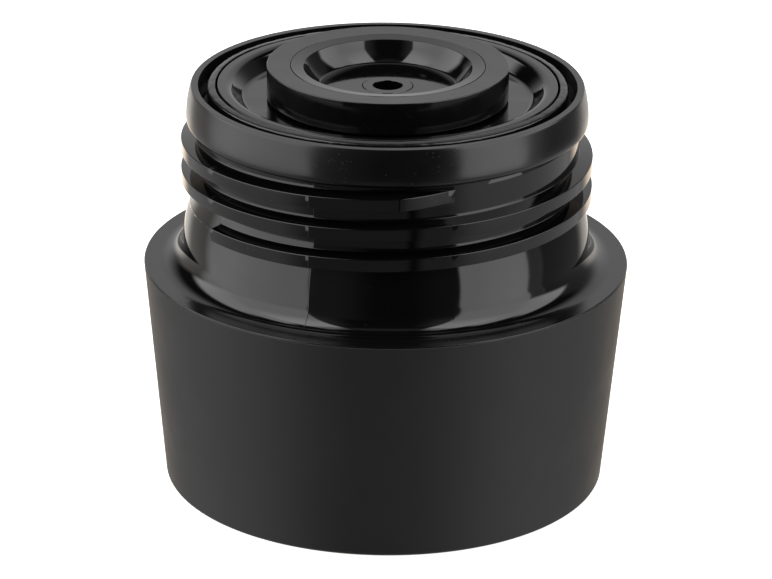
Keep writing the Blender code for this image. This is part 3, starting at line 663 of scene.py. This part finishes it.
PLATE_R = 16.62
PLATE_TOP_Z = high_of("valve_plate")
DISH_LIP_R = 14.5
DISH_LIP_Z = 74.42
DISH_LIP_ROUND = 0.2
DISH_LIP_END_DEG = 99.0
DISH_WALL_DEG = 34.0
DISH_BEND_Z = 73.18
DISH_BEND_R = 12.5
DISH_FOOT_DEG = 46.0
DISH_FILLET = 0.85
DISH_FLOOR_Z = 70.95
PLATE_UNDER_Z = 69.4
PLATE_EDGE = 0.04
PLATE_STEP = 0.07
BEAD_GROOVE_R = 15.0
BEAD_GROOVE_Z = (70.9, 72.7)
HUB_R = 8.2
HUB_END_Z = low_of("valve_plate")
HUB_RECESS_Z = 66.3
HUB_RECESS_R = 6.6
SEAL_R = radius_of("valve_seal")
SEAL_TOP_Z = high_of("valve_seal")
SEAL_FOOT_Z = low_of("valve_seal")
SEAL_INNER_R = 16.70
SEAL_EDGE = 0.05
SEAL_DROP = 0.02
SEAL_TOP_ROUND = 0.16
SEAL_FOOT_ROUND = 0.45
SEAL_FOOT_STEP = 0.1
SEAL_WAVES = ((3, 0.02, 0.5), (11, 0.008, 2.0), (41, 0.006, 0.1))
SEAL_SHRINK = 0.03
BEAD_GAP = 0.2
STEM_R = radius_of("valve_stem")
STEM_BORE_R = 2.55
STEM_TOP_Z = high_of("valve_stem")
STEM_END_Z = low_of("valve_stem")
STEM_STEP_Z = 26.0
STEM_SCREW_HOLE_R = 1.5
STEM_GAP = 0.07
STEM_EDGE = 0.05
STEM_CHAMFER = 0.06


def dish_wall():
    """The dish's side: a fillet on its floor, a hollow curve, then a straight rise to the lip."""
    lean = math.radians(DISH_WALL_DEG)
    foot = math.radians(DISH_FOOT_DEG)
    bend_r = DISH_LIP_R - (DISH_LIP_Z - DISH_BEND_Z) * math.tan(lean)
    center = (bend_r - DISH_BEND_R * math.cos(lean), DISH_BEND_Z + DISH_BEND_R * math.sin(lean))
    bend = arc(center, DISH_BEND_R, -DISH_FOOT_DEG, -DISH_WALL_DEG, 16)
    fillet_center = (bend[0][0] - DISH_FILLET * math.cos(foot), DISH_FLOOR_Z + DISH_FILLET)
    fillet = arc(fillet_center, DISH_FILLET, -90.0, -DISH_FOOT_DEG, 6)
    return fillet[:-1] + bend


def make_dish_plate():
    """Polished dished plate with a hub for the stem and a groove for the seal's bead."""
    lean = math.radians(DISH_WALL_DEG)
    lip_r = DISH_LIP_R + DISH_LIP_ROUND * (1.0 - math.sin(lean)) / math.cos(lean)
    lip_center = (lip_r, DISH_LIP_Z - DISH_LIP_ROUND)
    lip = arc(lip_center, DISH_LIP_ROUND, 180.0 - DISH_WALL_DEG, DISH_LIP_END_DEG, 6)
    hole_r = STEM_R + STEM_GAP
    outline = [
        (hole_r, DISH_FLOOR_Z - STEM_EDGE),
        (hole_r + STEM_EDGE, DISH_FLOOR_Z),
        *dish_wall(),
        *lip,
        (PLATE_R - PLATE_EDGE, PLATE_TOP_Z),
        (PLATE_R, PLATE_TOP_Z - PLATE_EDGE),
        (PLATE_R, BEAD_GROOVE_Z[1]),
        (BEAD_GROOVE_R, BEAD_GROOVE_Z[1]),
        (BEAD_GROOVE_R, BEAD_GROOVE_Z[0]),
        (PLATE_R - PLATE_STEP, BEAD_GROOVE_Z[0]),
        (PLATE_R - PLATE_STEP, PLATE_UNDER_Z),
        (HUB_R, PLATE_UNDER_Z),
        (HUB_R, HUB_END_Z),
        (HUB_RECESS_R, HUB_END_Z),
        (HUB_RECESS_R, HUB_RECESS_Z),
        (hole_r, HUB_RECESS_Z),
    ]
    return turned("dish_plate", outline)


def seal_shape(angle, radius, height):
    """Cut rubber: the side and the edges are a little uneven."""
    if radius < SEAL_R - 1.0:
        return 0.0, 0.0
    return ripple(angle, SEAL_WAVES) - SEAL_SHRINK, 0.0


def make_disc_seal():
    """Thick rubber ring, held in the plate's groove by its bead."""
    outline = [
        (SEAL_INNER_R, PLATE_TOP_Z - SEAL_DROP - SEAL_EDGE),
        (SEAL_INNER_R + SEAL_EDGE, PLATE_TOP_Z - SEAL_DROP),
        (SEAL_R, SEAL_TOP_Z),
        (SEAL_R, SEAL_FOOT_Z),
        (SEAL_INNER_R + SEAL_FOOT_STEP, SEAL_FOOT_Z),
        (SEAL_INNER_R + SEAL_FOOT_STEP, BEAD_GROOVE_Z[0] + BEAD_GAP),
        (BEAD_GROOVE_R + BEAD_GAP, BEAD_GROOVE_Z[0] + BEAD_GAP),
        (BEAD_GROOVE_R + BEAD_GAP, BEAD_GROOVE_Z[1] - BEAD_GAP),
        (SEAL_INNER_R, BEAD_GROOVE_Z[1] - BEAD_GAP),
    ]
    rounds = {2: SEAL_TOP_ROUND, 3: SEAL_FOOT_ROUND}
    return turned("disc_seal", rounded(outline, rounds), shape=seal_shape)


def make_hollow_stem():
    """Hollow stem. Its chamfered end shows in the dish."""
    outline = [
        (STEM_BORE_R, STEM_TOP_Z - STEM_EDGE),
        (STEM_BORE_R + STEM_EDGE, STEM_TOP_Z),
        (STEM_R - STEM_CHAMFER, STEM_TOP_Z),
        (STEM_R, STEM_TOP_Z - STEM_CHAMFER),
        (STEM_R, STEM_END_Z),
        (STEM_SCREW_HOLE_R, STEM_END_Z),
        (STEM_SCREW_HOLE_R, STEM_STEP_Z),
        (STEM_BORE_R, STEM_STEP_Z),
    ]
    return turned("hollow_stem", outline, RING_SEGMENTS)


# ---------------------------------------------------------------- pour insert and button

TUBE_R = 14.2
TUBE_WALL = 1.8
TUBE_TOP_Z = high_of("cap_insert")
STOP_BEAD_R = 13.5
STOP_BEAD_Z = 44.7
STOP_BEAD_HIGH = 1.0
BOWL_R = 28.6
BOWL_FLOOR_Z = 22.0
BOWL_WALL = 1.6
BOWL_CONE_Z = 6.0
BOWL_CONE_RISE = 1.2
BOWL_RIM_R = radius_of("cap_insert")
BOWL_RIM_Z = low_of("cap_insert")
BOWL_RIM_THICK = 2.0

BUTTON_R = radius_of("push_button")
BUTTON_FACE_Z = low_of("push_button")
BUTTON_THICK = 2.4
BUTTON_SKIRT_Z = 13.0
BUTTON_WALL = 1.6
BUTTON_EDGE = 0.9
PAD_RECESS_R = 19.0
PAD_RECESS = 1.2
POST_R = 5.2
POST_TOP_Z = high_of("push_button")
POST_FLANGE_R = 8.5
POST_FLANGE_THICK = 2.0
POST_HOLE_END_Z = 10.0
PAD_R = radius_of("button_pad")
PAD_TOP_Z = high_of("button_pad")
PAD_DISH = 0.3
PAD_EDGE_IN = 0.25
PAD_EDGE_UP = 0.15
PAD_STEPS = 14


def make_pour_insert():
    """Pour bowl and pour tube in one moulding, with rounded corners and screw holes."""
    outer_r = BOWL_R + BOWL_WALL
    top_z = BOWL_FLOOR_Z + BOWL_WALL
    outline = [
        (TUBE_R, TUBE_TOP_Z),
        (TUBE_R + TUBE_WALL, TUBE_TOP_Z),
        (TUBE_R + TUBE_WALL, top_z),
        (outer_r, top_z),
        (outer_r, BOWL_CONE_Z + BOWL_CONE_RISE),
        (BOWL_RIM_R, BOWL_RIM_Z + BOWL_RIM_THICK),
        (BOWL_RIM_R, BOWL_RIM_Z),
        (BOWL_R, BOWL_CONE_Z),
        (BOWL_R, BOWL_FLOOR_Z),
        (TUBE_R, BOWL_FLOOR_Z),
        (TUBE_R, STOP_BEAD_Z),
        (STOP_BEAD_R, STOP_BEAD_Z),
        (STOP_BEAD_R, STOP_BEAD_Z + STOP_BEAD_HIGH),
        (TUBE_R, STOP_BEAD_Z + STOP_BEAD_HIGH),
    ]
    rounds = {1: 0.3, 3: 1.0, 5: 0.3, 6: 0.3, 7: 2.5, 8: 2.0, 9: 1.2, 11: 0.2, 12: 0.2}
    insert = turned("pour_insert", rounded(outline, rounds, 8))
    for x, y in boss_places():
        hole = rod("hole", x, y, BOWL_FLOOR_Z - CUT_PAST, top_z + CUT_PAST, BOSS_HOLE_R + SCREW_GAP)
        boolean(insert, hole, "DIFFERENCE")
    return insert


def make_thumb_button():
    """Button with a rounded edge, a recess for its pad and a post for the stem."""
    plate_z = BUTTON_FACE_Z + BUTTON_THICK
    inner_r = BUTTON_R - BUTTON_WALL
    flange_z = POST_TOP_Z - POST_FLANGE_THICK
    outline = [
        (0.0, POST_HOLE_END_Z),
        (STEM_SCREW_HOLE_R, POST_HOLE_END_Z),
        (STEM_SCREW_HOLE_R, POST_TOP_Z),
        (POST_FLANGE_R, POST_TOP_Z),
        (POST_FLANGE_R, flange_z),
        (POST_R, flange_z),
        (POST_R, plate_z),
        (inner_r, plate_z),
        (inner_r, BUTTON_SKIRT_Z),
        (BUTTON_R, BUTTON_SKIRT_Z),
        (BUTTON_R, BUTTON_FACE_Z),
        (PAD_RECESS_R, BUTTON_FACE_Z),
        (PAD_RECESS_R, BUTTON_FACE_Z + PAD_RECESS),
        (0.0, BUTTON_FACE_Z + PAD_RECESS),
    ]
    rounds = {3: 0.3, 4: 0.3, 5: 1.0, 6: 1.0, 7: 1.0, 8: 0.3, 9: 0.3, 10: BUTTON_EDGE, 11: 0.15}
    return turned("thumb_button", rounded(outline, rounds, 6), closed=False)


def make_thumb_pad():
    """Thin disc with a shallow dish for the thumb."""
    face = []
    for step in range(PAD_STEPS + 1):
        radius = (PAD_R - PAD_EDGE_IN) * (1.0 - step / PAD_STEPS)
        depth = PAD_DISH * (1.0 - (radius / PAD_R) ** 2)
        face.append((radius, BUTTON_FACE_Z + depth))
    outline = [(0.0, PAD_TOP_Z), (PAD_R, PAD_TOP_Z), (PAD_R, BUTTON_FACE_Z + PAD_EDGE_UP), *face]
    return turned("thumb_pad", outline, closed=False)


# ---------------------------------------------------------------- spring

SPRING_MEAN_R = 6.6
SPRING_WIRE_R = 0.55
SPRING_LOW_Z = low_of("return_spring")
SPRING_HIGH_Z = 42.9
SPRING_TURNS = 6.0
SPRING_PER_TURN = 48
SPRING_CLOSED = 0.06


def make_coil_spring():
    """Coil with closed end turns, as one closed tube."""
    low = SPRING_LOW_Z + SPRING_WIRE_R
    high = SPRING_HIGH_Z - SPRING_WIRE_R
    curve = bpy.data.curves.new("coil", "CURVE")
    curve.dimensions = "3D"
    curve.bevel_depth = SPRING_WIRE_R * MM
    curve.bevel_resolution = 6
    curve.use_fill_caps = True
    spline = curve.splines.new("POLY")
    count = int(SPRING_TURNS * SPRING_PER_TURN)
    spline.points.add(count)
    for index in range(count + 1):
        share = index / count
        angle = 2.0 * math.pi * SPRING_TURNS * share
        rise = min(max((share - SPRING_CLOSED) / (1.0 - 2.0 * SPRING_CLOSED), 0.0), 1.0)
        x = SPRING_MEAN_R * math.cos(angle) * MM
        y = SPRING_MEAN_R * math.sin(angle) * MM
        spline.points[index].co = (x, y, (low + (high - low) * rise) * MM, 1.0)
    holder = new_object("coil", curve)
    mesh = as_mesh(holder)
    bpy.data.objects.remove(holder)
    return smooth(new_object("coil_spring", clean_mesh("coil_spring", mesh)), 60.0)


# ---------------------------------------------------------------- materials


def math_node(tree, operation, first, second=None):
    """One maths node on outputs or plain numbers."""
    node = tree.nodes.new("ShaderNodeMath")
    node.operation = operation
    for index, value in enumerate((first, second)):
        if isinstance(value, (int, float)):
            node.inputs[index].default_value = value
        elif value is not None:
            tree.links.new(value, node.inputs[index])
    return node.outputs[0]


def range_node(tree, value, start, end, low=0.0, high=1.0):
    """Map the range from start to end smoothly to the range from low to high."""
    node = tree.nodes.new("ShaderNodeMapRange")
    node.interpolation_type = "SMOOTHSTEP"
    for name, number in (("From Min", start), ("From Max", end), ("To Min", low), ("To Max", high)):
        node.inputs[name].default_value = number
    tree.links.new(value, node.inputs["Value"])
    return node.outputs["Result"]


class Look:
    """A Principled material and the nodes that shape its finish."""

    def __init__(self, name, ior=1.5, metallic=0.0):
        self.material = bpy.data.materials.new(name)
        self.material.use_nodes = True
        self.tree = self.material.node_tree
        self.shader = self.tree.nodes["Principled BSDF"]
        self.shader.inputs["IOR"].default_value = ior
        self.shader.inputs["Metallic"].default_value = metallic
        self.place = self.node("ShaderNodeTexCoord").outputs["Object"]

    def node(self, kind):
        return self.tree.nodes.new(kind)

    def link(self, output, target):
        self.tree.links.new(output, target)

    def math(self, operation, first, second=None):
        return math_node(self.tree, operation, first, second)

    def noise(self, scale, detail=2.0, roughness=0.5, vector=None):
        node = self.node("ShaderNodeTexNoise")
        node.inputs["Scale"].default_value = scale
        node.inputs["Detail"].default_value = detail
        node.inputs["Roughness"].default_value = roughness
        self.link(self.place if vector is None else vector, node.inputs["Vector"])
        return node.outputs["Fac"]

    def between(self, value, low, high, start=0.3, end=0.7):
        """Map a range of a value, by default a texture's middle range, to low and high."""
        return range_node(self.tree, value, start, end, low, high)

    def lathe(self):
        """Radius, turn and height about the axis."""
        parts = self.node("ShaderNodeSeparateXYZ")
        self.link(self.place, parts.inputs[0])
        x, y, z = parts.outputs
        square = self.math("ADD", self.math("MULTIPLY", x, x), self.math("MULTIPLY", y, y))
        return self.math("SQRT", square), self.math("ARCTAN2", y, x), z

    def turned_place(self, round_share, height_share):
        """Coordinates that follow the lathe: radius, turn and height."""
        radius, turn, z = self.lathe()
        joined = self.node("ShaderNodeCombineXYZ")
        self.link(self.math("MULTIPLY", radius, height_share), joined.inputs[0])
        self.link(self.math("MULTIPLY", turn, round_share), joined.inputs[1])
        self.link(self.math("MULTIPLY", z, height_share), joined.inputs[2])
        return joined.outputs[0]

    def tint(self, value, low, high):
        """Base colour between two colours."""
        node = self.node("ShaderNodeMix")
        node.data_type = "RGBA"
        node.inputs["A"].default_value = (*low, 1.0)
        node.inputs["B"].default_value = (*high, 1.0)
        self.link(value, node.inputs["Factor"])
        self.link(node.outputs["Result"], self.shader.inputs["Base Color"])

    def rough(self, value):
        self.link(value, self.shader.inputs["Roughness"])

    def bump(self, value, strength, distance_mm, last=None):
        node = self.node("ShaderNodeBump")
        node.inputs["Strength"].default_value = strength
        node.inputs["Distance"].default_value = distance_mm * MM
        self.link(value, node.inputs["Height"])
        if last is not None:
            self.link(last, node.inputs["Normal"])
        self.link(node.outputs["Normal"], self.shader.inputs["Normal"])
        return node.outputs["Normal"]


def specks(look, scale, size):
    """Sparse dust: a mask that is one on a few small spots."""
    node = look.node("ShaderNodeTexVoronoi")
    node.inputs["Scale"].default_value = scale
    look.link(look.place, node.inputs["Vector"])
    near = look.math("LESS_THAN", node.outputs["Distance"], size)
    rare = look.math("GREATER_THAN", look.noise(scale * 0.21, 0.0), 0.62)
    return look.math("MULTIPLY", near, rare)


def matte_grip():
    """Spark-eroded matte plastic: fine even grain and faint handling marks."""
    look = Look("matte_grip")
    grain = look.noise(5200.0, 2.0, 0.6)
    marks = look.noise(60.0, 4.0, 0.6)
    look.tint(look.between(marks, 0.0, 1.0), (0.0054, 0.0054, 0.0055), (0.0068, 0.0068, 0.0069))
    look.rough(look.between(marks, 0.52, 0.60))
    look.bump(grain, 0.30, 0.03)
    return look.material


RING_SATIN = 0.14
RING_OVER = (0.04, 0.12)
RING_UNDER = (-0.6, -0.4)


def gloss_body():
    """Polished black moulding: faint waviness, hairlines, a little dust, a satin shoulder ring."""
    look = Look("gloss_body")
    haze = look.noise(90.0, 3.0, 0.6)
    lines = look.noise(1.0, 2.0, 0.6, look.turned_place(8.0, 2600.0))
    dust = specks(look, 900.0, 0.12)
    look.tint(dust, (0.0021, 0.0021, 0.0022), (0.008, 0.008, 0.008))
    gloss = look.math("ADD", look.between(haze, 0.050, 0.085), look.math("MULTIPLY", dust, 0.12))
    height = look.lathe()[2]
    over = look.between(height, 1.0, 0.0, *((CAP_HEIGHT + edge) * MM for edge in RING_OVER))
    under = look.between(height, 0.0, 1.0, *((CAP_HEIGHT + edge) * MM for edge in RING_UNDER))
    ring = look.math("MULTIPLY", over, under)
    look.rough(look.math("ADD", gloss, look.math("MULTIPLY", ring, RING_SATIN)))
    last = look.bump(look.noise(45.0, 1.0), 0.10, 0.25)
    look.bump(lines, 0.05, 0.01, last)
    return look.material


def gasket_rubber():
    """Moulded rubber: satin, with fine lines that run round it."""
    look = Look("gasket_rubber")
    haze = look.noise(120.0, 3.0, 0.6)
    lines = look.noise(1.0, 3.0, 0.7, look.turned_place(3.0, 2200.0))
    dust = specks(look, 1500.0, 0.16)
    look.tint(dust, (0.0036, 0.0036, 0.0041), (0.03, 0.03, 0.03))
    look.rough(look.between(haze, 0.17, 0.24))
    last = look.bump(lines, 0.22, 0.03)
    look.bump(look.noise(1500.0, 2.0, 0.7), 0.08, 0.02, last)
    return look.material


SEAL_SIDE_SMOOTHER = -0.11
SEAL_SIDE_FROM = (0.25, 0.12)


def seal_rubber():
    """Cut rubber: satin, with fine dust and a smoother side."""
    look = Look("seal_rubber")
    cloud = look.noise(220.0, 4.0, 0.65)
    dust = specks(look, 2400.0, 0.2)
    shade = look.math("ADD", look.between(cloud, 0.0, 0.20), dust)
    look.tint(shade, (0.0028, 0.0028, 0.0032), (0.014, 0.014, 0.015))
    radius = look.lathe()[0]
    side = look.between(radius, 0.0, SEAL_SIDE_SMOOTHER, *((SEAL_R - edge) * MM for edge in SEAL_SIDE_FROM))
    look.rough(look.math("ADD", look.between(cloud, 0.20, 0.27), side))
    last = look.bump(look.noise(900.0, 3.0, 0.7), 0.10, 0.02)
    look.bump(look.noise(4200.0, 2.0, 0.6), 0.06, 0.01, last)
    return look.material


def satin_plastic(name, low, high, roughness, grain=0.1):
    """Satin moulding for the insert, the button's pad, the guide and the cam."""
    look = Look(name)
    cloud = look.noise(150.0, 3.0, 0.6)
    look.tint(look.between(cloud, 0.0, 1.0), low, high)
    look.rough(look.between(cloud, roughness - 0.04, roughness + 0.04))
    look.bump(look.noise(3200.0, 2.0, 0.6), grain, 0.02)
    return look.material


def steel():
    """Zinc-plated steel with fine drawing lines and dull spots."""
    look = Look("steel", metallic=1.0)
    cloud = look.noise(700.0, 3.0, 0.6)
    lines = look.noise(1.0, 2.0, 0.6, look.turned_place(40.0, 9000.0))
    look.tint(look.between(cloud, 0.0, 1.0), (0.46, 0.47, 0.49), (0.62, 0.62, 0.63))
    look.rough(look.between(cloud, 0.22, 0.38))
    look.bump(lines, 0.15, 0.01)
    return look.material


def foam():
    """Rigid cream foam with open cells."""
    look = Look("foam")
    cells = look.node("ShaderNodeTexVoronoi")
    cells.inputs["Scale"].default_value = 1600.0
    look.link(look.place, cells.inputs["Vector"])
    cloud = look.noise(200.0, 4.0, 0.6)
    look.tint(look.between(cloud, 0.0, 1.0), (0.62, 0.55, 0.38), (0.76, 0.70, 0.54))
    look.rough(look.between(cloud, 0.85, 0.95))
    look.bump(cells.outputs["Distance"], 0.6, 0.2)
    return look.material


# ---------------------------------------------------------------- assembly

looks = {
    "matte_grip": matte_grip(),
    "gloss_body": gloss_body(),
    "gasket_rubber": gasket_rubber(),
    "seal_rubber": seal_rubber(),
    "bowl_plastic": satin_plastic("bowl_plastic", (0.006, 0.006, 0.007), (0.009, 0.009, 0.010), 0.22),
    "pad_plastic": satin_plastic("pad_plastic", (0.022, 0.022, 0.024), (0.032, 0.032, 0.034), 0.42, 0.25),
    "guide_plastic": satin_plastic("guide_plastic", (0.66, 0.66, 0.62), (0.74, 0.74, 0.70), 0.38),
    "steel": steel(),
    "foam": foam(),
}


def show(item, node, body, slot):
    """Let a fine piece stand for a CAD node, on its body and with its slot's finish."""
    item.data.materials.clear()
    item.data.materials.append(looks[slot])
    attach(item, body)
    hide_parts(node)
    return item


show(make_grip_shell(), "outer_cap", "stopper", "matte_grip")
show(make_neck_and_thread(), "stopper_body", "stopper", "gloss_body")
show(make_lip_gasket(), "neck_gasket", "stopper", "gasket_rubber")
show(make_plug_crown(), "plug_end", "stopper", "gloss_body")
show(make_dish_plate(), "valve_plate", "button", "gloss_body")
show(make_disc_seal(), "valve_seal", "button", "seal_rubber")
show(make_hollow_stem(), "valve_stem", "button", "gloss_body")
show(make_pour_insert(), "cap_insert", "stopper", "bowl_plastic")
show(make_thumb_button(), "push_button", "button", "matte_grip")
show(make_thumb_pad(), "button_pad", "button", "pad_plastic")
coil = show(make_coil_spring(), "return_spring", "stopper", "steel")
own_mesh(coil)

slots = {part["node"]: part["material_slot"] for part in frame["record"]["subparts"]}
for node, item in frame["nodes"].items():
    if not item.hide_render:
        item.data.materials.clear()
        item.data.materials.append(looks[slots[node]])

# ---------------------------------------------------------------- camera, light and floor

CAMERA_PLACE = (0.00010, -0.6786, 0.3043)
CAMERA_LENS = 195.25
CAMERA_SENSOR = 36.0
CAMERA_DOWN_DEG = 21.767
CAMERA_ROLL_DEG = 0.64
FLOOR_HALF = 6.0
FLOOR_GLOW = 0.80
FLOOR_LINE = -18.9


def make_camera():
    """Long lens, a little above the stopper, with a slight roll."""
    data = bpy.data.cameras.new("camera")
    data.lens = CAMERA_LENS
    data.sensor_width = CAMERA_SENSOR
    data.clip_end = 50.0
    camera = bpy.data.objects.new("camera", data)
    bpy.context.scene.collection.objects.link(camera)
    tilt = Matrix.Rotation(math.radians(90.0 - CAMERA_DOWN_DEG), 4, "X")
    roll = Matrix.Rotation(math.radians(CAMERA_ROLL_DEG), 4, "Z")
    camera.matrix_world = Matrix.Translation(CAMERA_PLACE) @ tilt @ roll
    bpy.context.scene.camera = camera


def make_floor():
    """Plain pale floor. It is only seen directly, so the studio's light reaches under it."""
    mesh = bpy.data.meshes.new("floor")
    half = FLOOR_HALF
    corners = [(-half, -half, 0.0), (half, -half, 0.0), (half, half, 0.0), (-half, half, 0.0)]
    mesh.from_pydata(corners, [], [(0, 1, 2, 3)])
    floor = new_object("floor", mesh)
    material = bpy.data.materials.new("floor")
    material.use_nodes = True
    shader = material.node_tree.nodes["Principled BSDF"]
    shader.inputs["Base Color"].default_value = (0.85, 0.85, 0.85, 1.0)
    shader.inputs["Roughness"].default_value = 0.9
    shader.inputs["Emission Color"].default_value = (1.0, 1.0, 1.0, 1.0)
    shader.inputs["Emission Strength"].default_value = FLOOR_GLOW
    mesh.materials.append(material)
    floor.visible_glossy = False
    floor.visible_diffuse = False
    floor.visible_shadow = False
    floor.visible_transmission = False


NEUTRAL = (0.8, 0.8, 0.8)
WARM = (0.84, 0.80, 0.74)
TABLE = (0.95, 0.80, 0.65)


class Studio:
    """White surroundings for the camera, and soft boxes by direction for everything else."""

    def __init__(self):
        world = bpy.data.worlds.new("studio")
        bpy.context.scene.world = world
        world.use_nodes = True
        self.tree = world.node_tree
        self.tree.nodes.clear()
        place = self.tree.nodes.new("ShaderNodeTexCoord").outputs["Generated"]
        parts = self.tree.nodes.new("ShaderNodeSeparateXYZ")
        self.tree.links.new(place, parts.inputs[0])
        x, y, z = parts.outputs
        behind = self.math("MULTIPLY", y, -1.0)
        self.azimuth = self.math("MULTIPLY", self.math("ARCTAN2", x, behind), 180.0 / math.pi)
        self.height = self.math("MULTIPLY", self.math("ARCSINE", z), 180.0 / math.pi)
        self.lights = {}

    def math(self, operation, first, second=None):
        return math_node(self.tree, operation, first, second)

    def step(self, value, edge, blur):
        """Zero below an edge and one above it, with a soft change between."""
        return range_node(self.tree, value, edge - blur, edge + blur)

    def box(self, strength, turn, rise, turn_blur, rise_blur, color=NEUTRAL):
        """A soft box: its strength, its span in azimuth and height, and each edge's blur."""
        mask = strength
        for value, span, blur in ((self.azimuth, turn, turn_blur), (self.height, rise, rise_blur)):
            inside = self.step(value, span[0], blur[0])
            outside = self.math("SUBTRACT", 1.0, self.step(value, span[1], blur[1]))
            mask = self.math("MULTIPLY", mask, self.math("MULTIPLY", inside, outside))
        last = self.lights.get(color)
        self.lights[color] = mask if last is None else self.math("ADD", last, mask)

    def finish(self):
        """White to the camera, and the sum of the lights to all else."""
        white = self.tree.nodes.new("ShaderNodeBackground")
        white.inputs["Strength"].default_value = 1.0
        white.inputs["Color"].default_value = (1.0, 1.0, 1.0, 1.0)
        boxes = None
        for color, light in self.lights.items():
            glow = self.tree.nodes.new("ShaderNodeBackground")
            glow.inputs["Color"].default_value = (*color, 1.0)
            self.tree.links.new(light, glow.inputs["Strength"])
            if boxes is None:
                boxes = glow
                continue
            both = self.tree.nodes.new("ShaderNodeAddShader")
            self.tree.links.new(boxes.outputs[0], both.inputs[0])
            self.tree.links.new(glow.outputs[0], both.inputs[1])
            boxes = both
        path = self.tree.nodes.new("ShaderNodeLightPath")
        mix = self.tree.nodes.new("ShaderNodeMixShader")
        output = self.tree.nodes.new("ShaderNodeOutputWorld")
        self.tree.links.new(path.outputs["Is Camera Ray"], mix.inputs[0])
        self.tree.links.new(boxes.outputs[0], mix.inputs[1])
        self.tree.links.new(white.outputs[0], mix.inputs[2])
        self.tree.links.new(mix.outputs[0], output.inputs["Surface"])


def make_studio():
    """Tall soft boxes left and right, a white sweep below and behind, and a dark room in front."""
    studio = Studio()
    # left soft box: its lower part, then its brighter upper part, whose top falls away to the back
    studio.box(1.75, (-117.0, -43.0), (FLOOR_LINE, 11.0), (6.0, 0.8), (0.8, 5.0))
    studio.box(0.72, (-104.0, -43.0), (FLOOR_LINE, 11.0), (14.0, 0.8), (0.8, 5.0))
    studio.box(0.2, (-104.0, -66.0), (-9.0, 11.0), (8.0, 12.0), (5.0, 5.0))
    studio.box(3.1, (-94.0, -43.0), (11.0, 70.0), (4.0, 1.0), (5.0, 2.0))
    studio.box(1.9, (-94.0, -43.0), (49.0, 70.0), (4.0, 1.0), (12.0, 2.0))
    studio.box(2.2, (-94.0, -49.0), (70.0, 76.5), (4.0, 9.0), (2.0, 1.5))
    studio.box(0.3, (-43.0, -30.0), (30.0, 60.0), (1.0, 10.0), (10.0, 8.0))
    studio.box(3.4, (-116.0, -94.0), (11.0, 66.0), (4.0, 4.0), (5.0, 2.5))
    studio.box(3.2, (-126.0, -116.0), (11.0, 54.0), (5.0, 4.0), (5.0, 4.0))
    # right soft box
    studio.box(2.7, (41.5, 85.5), (FLOOR_LINE, 11.0), (1.0, 1.0), (0.8, 5.0))
    studio.box(0.2, (56.0, 79.0), (FLOOR_LINE, 11.0), (6.0, 5.0), (3.0, 5.0))
    studio.box(3.1, (41.5, 86.0), (11.0, 70.0), (1.0, 4.0), (5.0, 2.0))
    studio.box(1.5, (41.5, 86.0), (49.0, 70.0), (1.0, 4.0), (12.0, 2.0))
    studio.box(2.2, (48.0, 86.0), (70.0, 76.5), (9.0, 4.0), (2.0, 1.5))
    studio.box(0.3, (28.0, 41.5), (30.0, 60.0), (10.0, 1.0), (10.0, 8.0))
    studio.box(3.4, (86.0, 103.0), (11.0, 66.0), (4.0, 4.0), (5.0, 2.5))
    studio.box(3.2, (103.0, 115.0), (11.0, 52.0), (4.0, 3.0), (5.0, 4.0))
    # spill beside the boxes
    studio.box(0.14, (-44.0, -16.0), (FLOOR_LINE, 30.0), (1.0, 14.0), (1.0, 9.0))
    studio.box(0.06, (22.0, 42.0), (FLOOR_LINE, 30.0), (12.0, 1.0), (1.0, 9.0))
    studio.box(0.50, (-147.0, -117.0), (FLOOR_LINE, 8.0), (8.0, 6.0), (1.0, 5.0), WARM)
    studio.box(0.40, (85.5, 97.0), (FLOOR_LINE, 11.0), (1.0, 1.5), (1.0, 5.0))
    studio.box(0.16, (97.0, 140.0), (FLOOR_LINE, 30.0), (1.5, 6.0), (1.0, 5.0))
    # white sweep behind
    studio.box(1.5, (-181.0, -147.0), (FLOOR_LINE, 0.0), (0.1, 8.0), (1.0, 6.0), WARM)
    studio.box(1.1, (142.0, 181.0), (FLOOR_LINE, 0.0), (8.0, 0.1), (1.0, 6.0), WARM)
    studio.box(2.1, (-181.0, -150.0), (-90.0, FLOOR_LINE), (0.1, 8.0), (1.0, 1.0), TABLE)
    studio.box(1.8, (146.0, 181.0), (-90.0, FLOOR_LINE), (8.0, 0.1), (1.0, 1.0), TABLE)
    studio.box(0.82, (-181.0, -154.0), (0.0, 60.0), (0.1, 12.0), (6.0, 10.0))
    studio.box(0.82, (146.0, 181.0), (0.0, 60.0), (12.0, 0.1), (6.0, 10.0))
    # lit floor at the sides, and a weaker one in front
    studio.box(0.72, (-147.0, -53.0), (-90.0, FLOOR_LINE), (8.0, 12.0), (1.0, 0.8))
    studio.box(0.80, (44.0, 142.0), (-90.0, FLOOR_LINE), (12.0, 8.0), (1.0, 0.8))
    studio.box(0.18, (-53.0, 13.0), (-90.0, FLOOR_LINE), (12.0, 2.5), (1.0, 0.8))
    studio.box(0.26, (19.0, 44.0), (-90.0, FLOOR_LINE), (4.0, 12.0), (1.0, 0.8))
    # faint light from above the camera, and the room's own
    studio.box(0.30, (-43.0, 41.5), (70.0, 79.0), (14.0, 14.0), (5.0, 3.0))
    studio.box(0.018, (-181.0, 181.0), (-91.0, 91.0), (0.1, 0.1), (0.1, 0.1))
    studio.finish()


make_camera()
make_floor()
make_studio()
bpy.context.scene.view_settings.view_transform = "Standard"
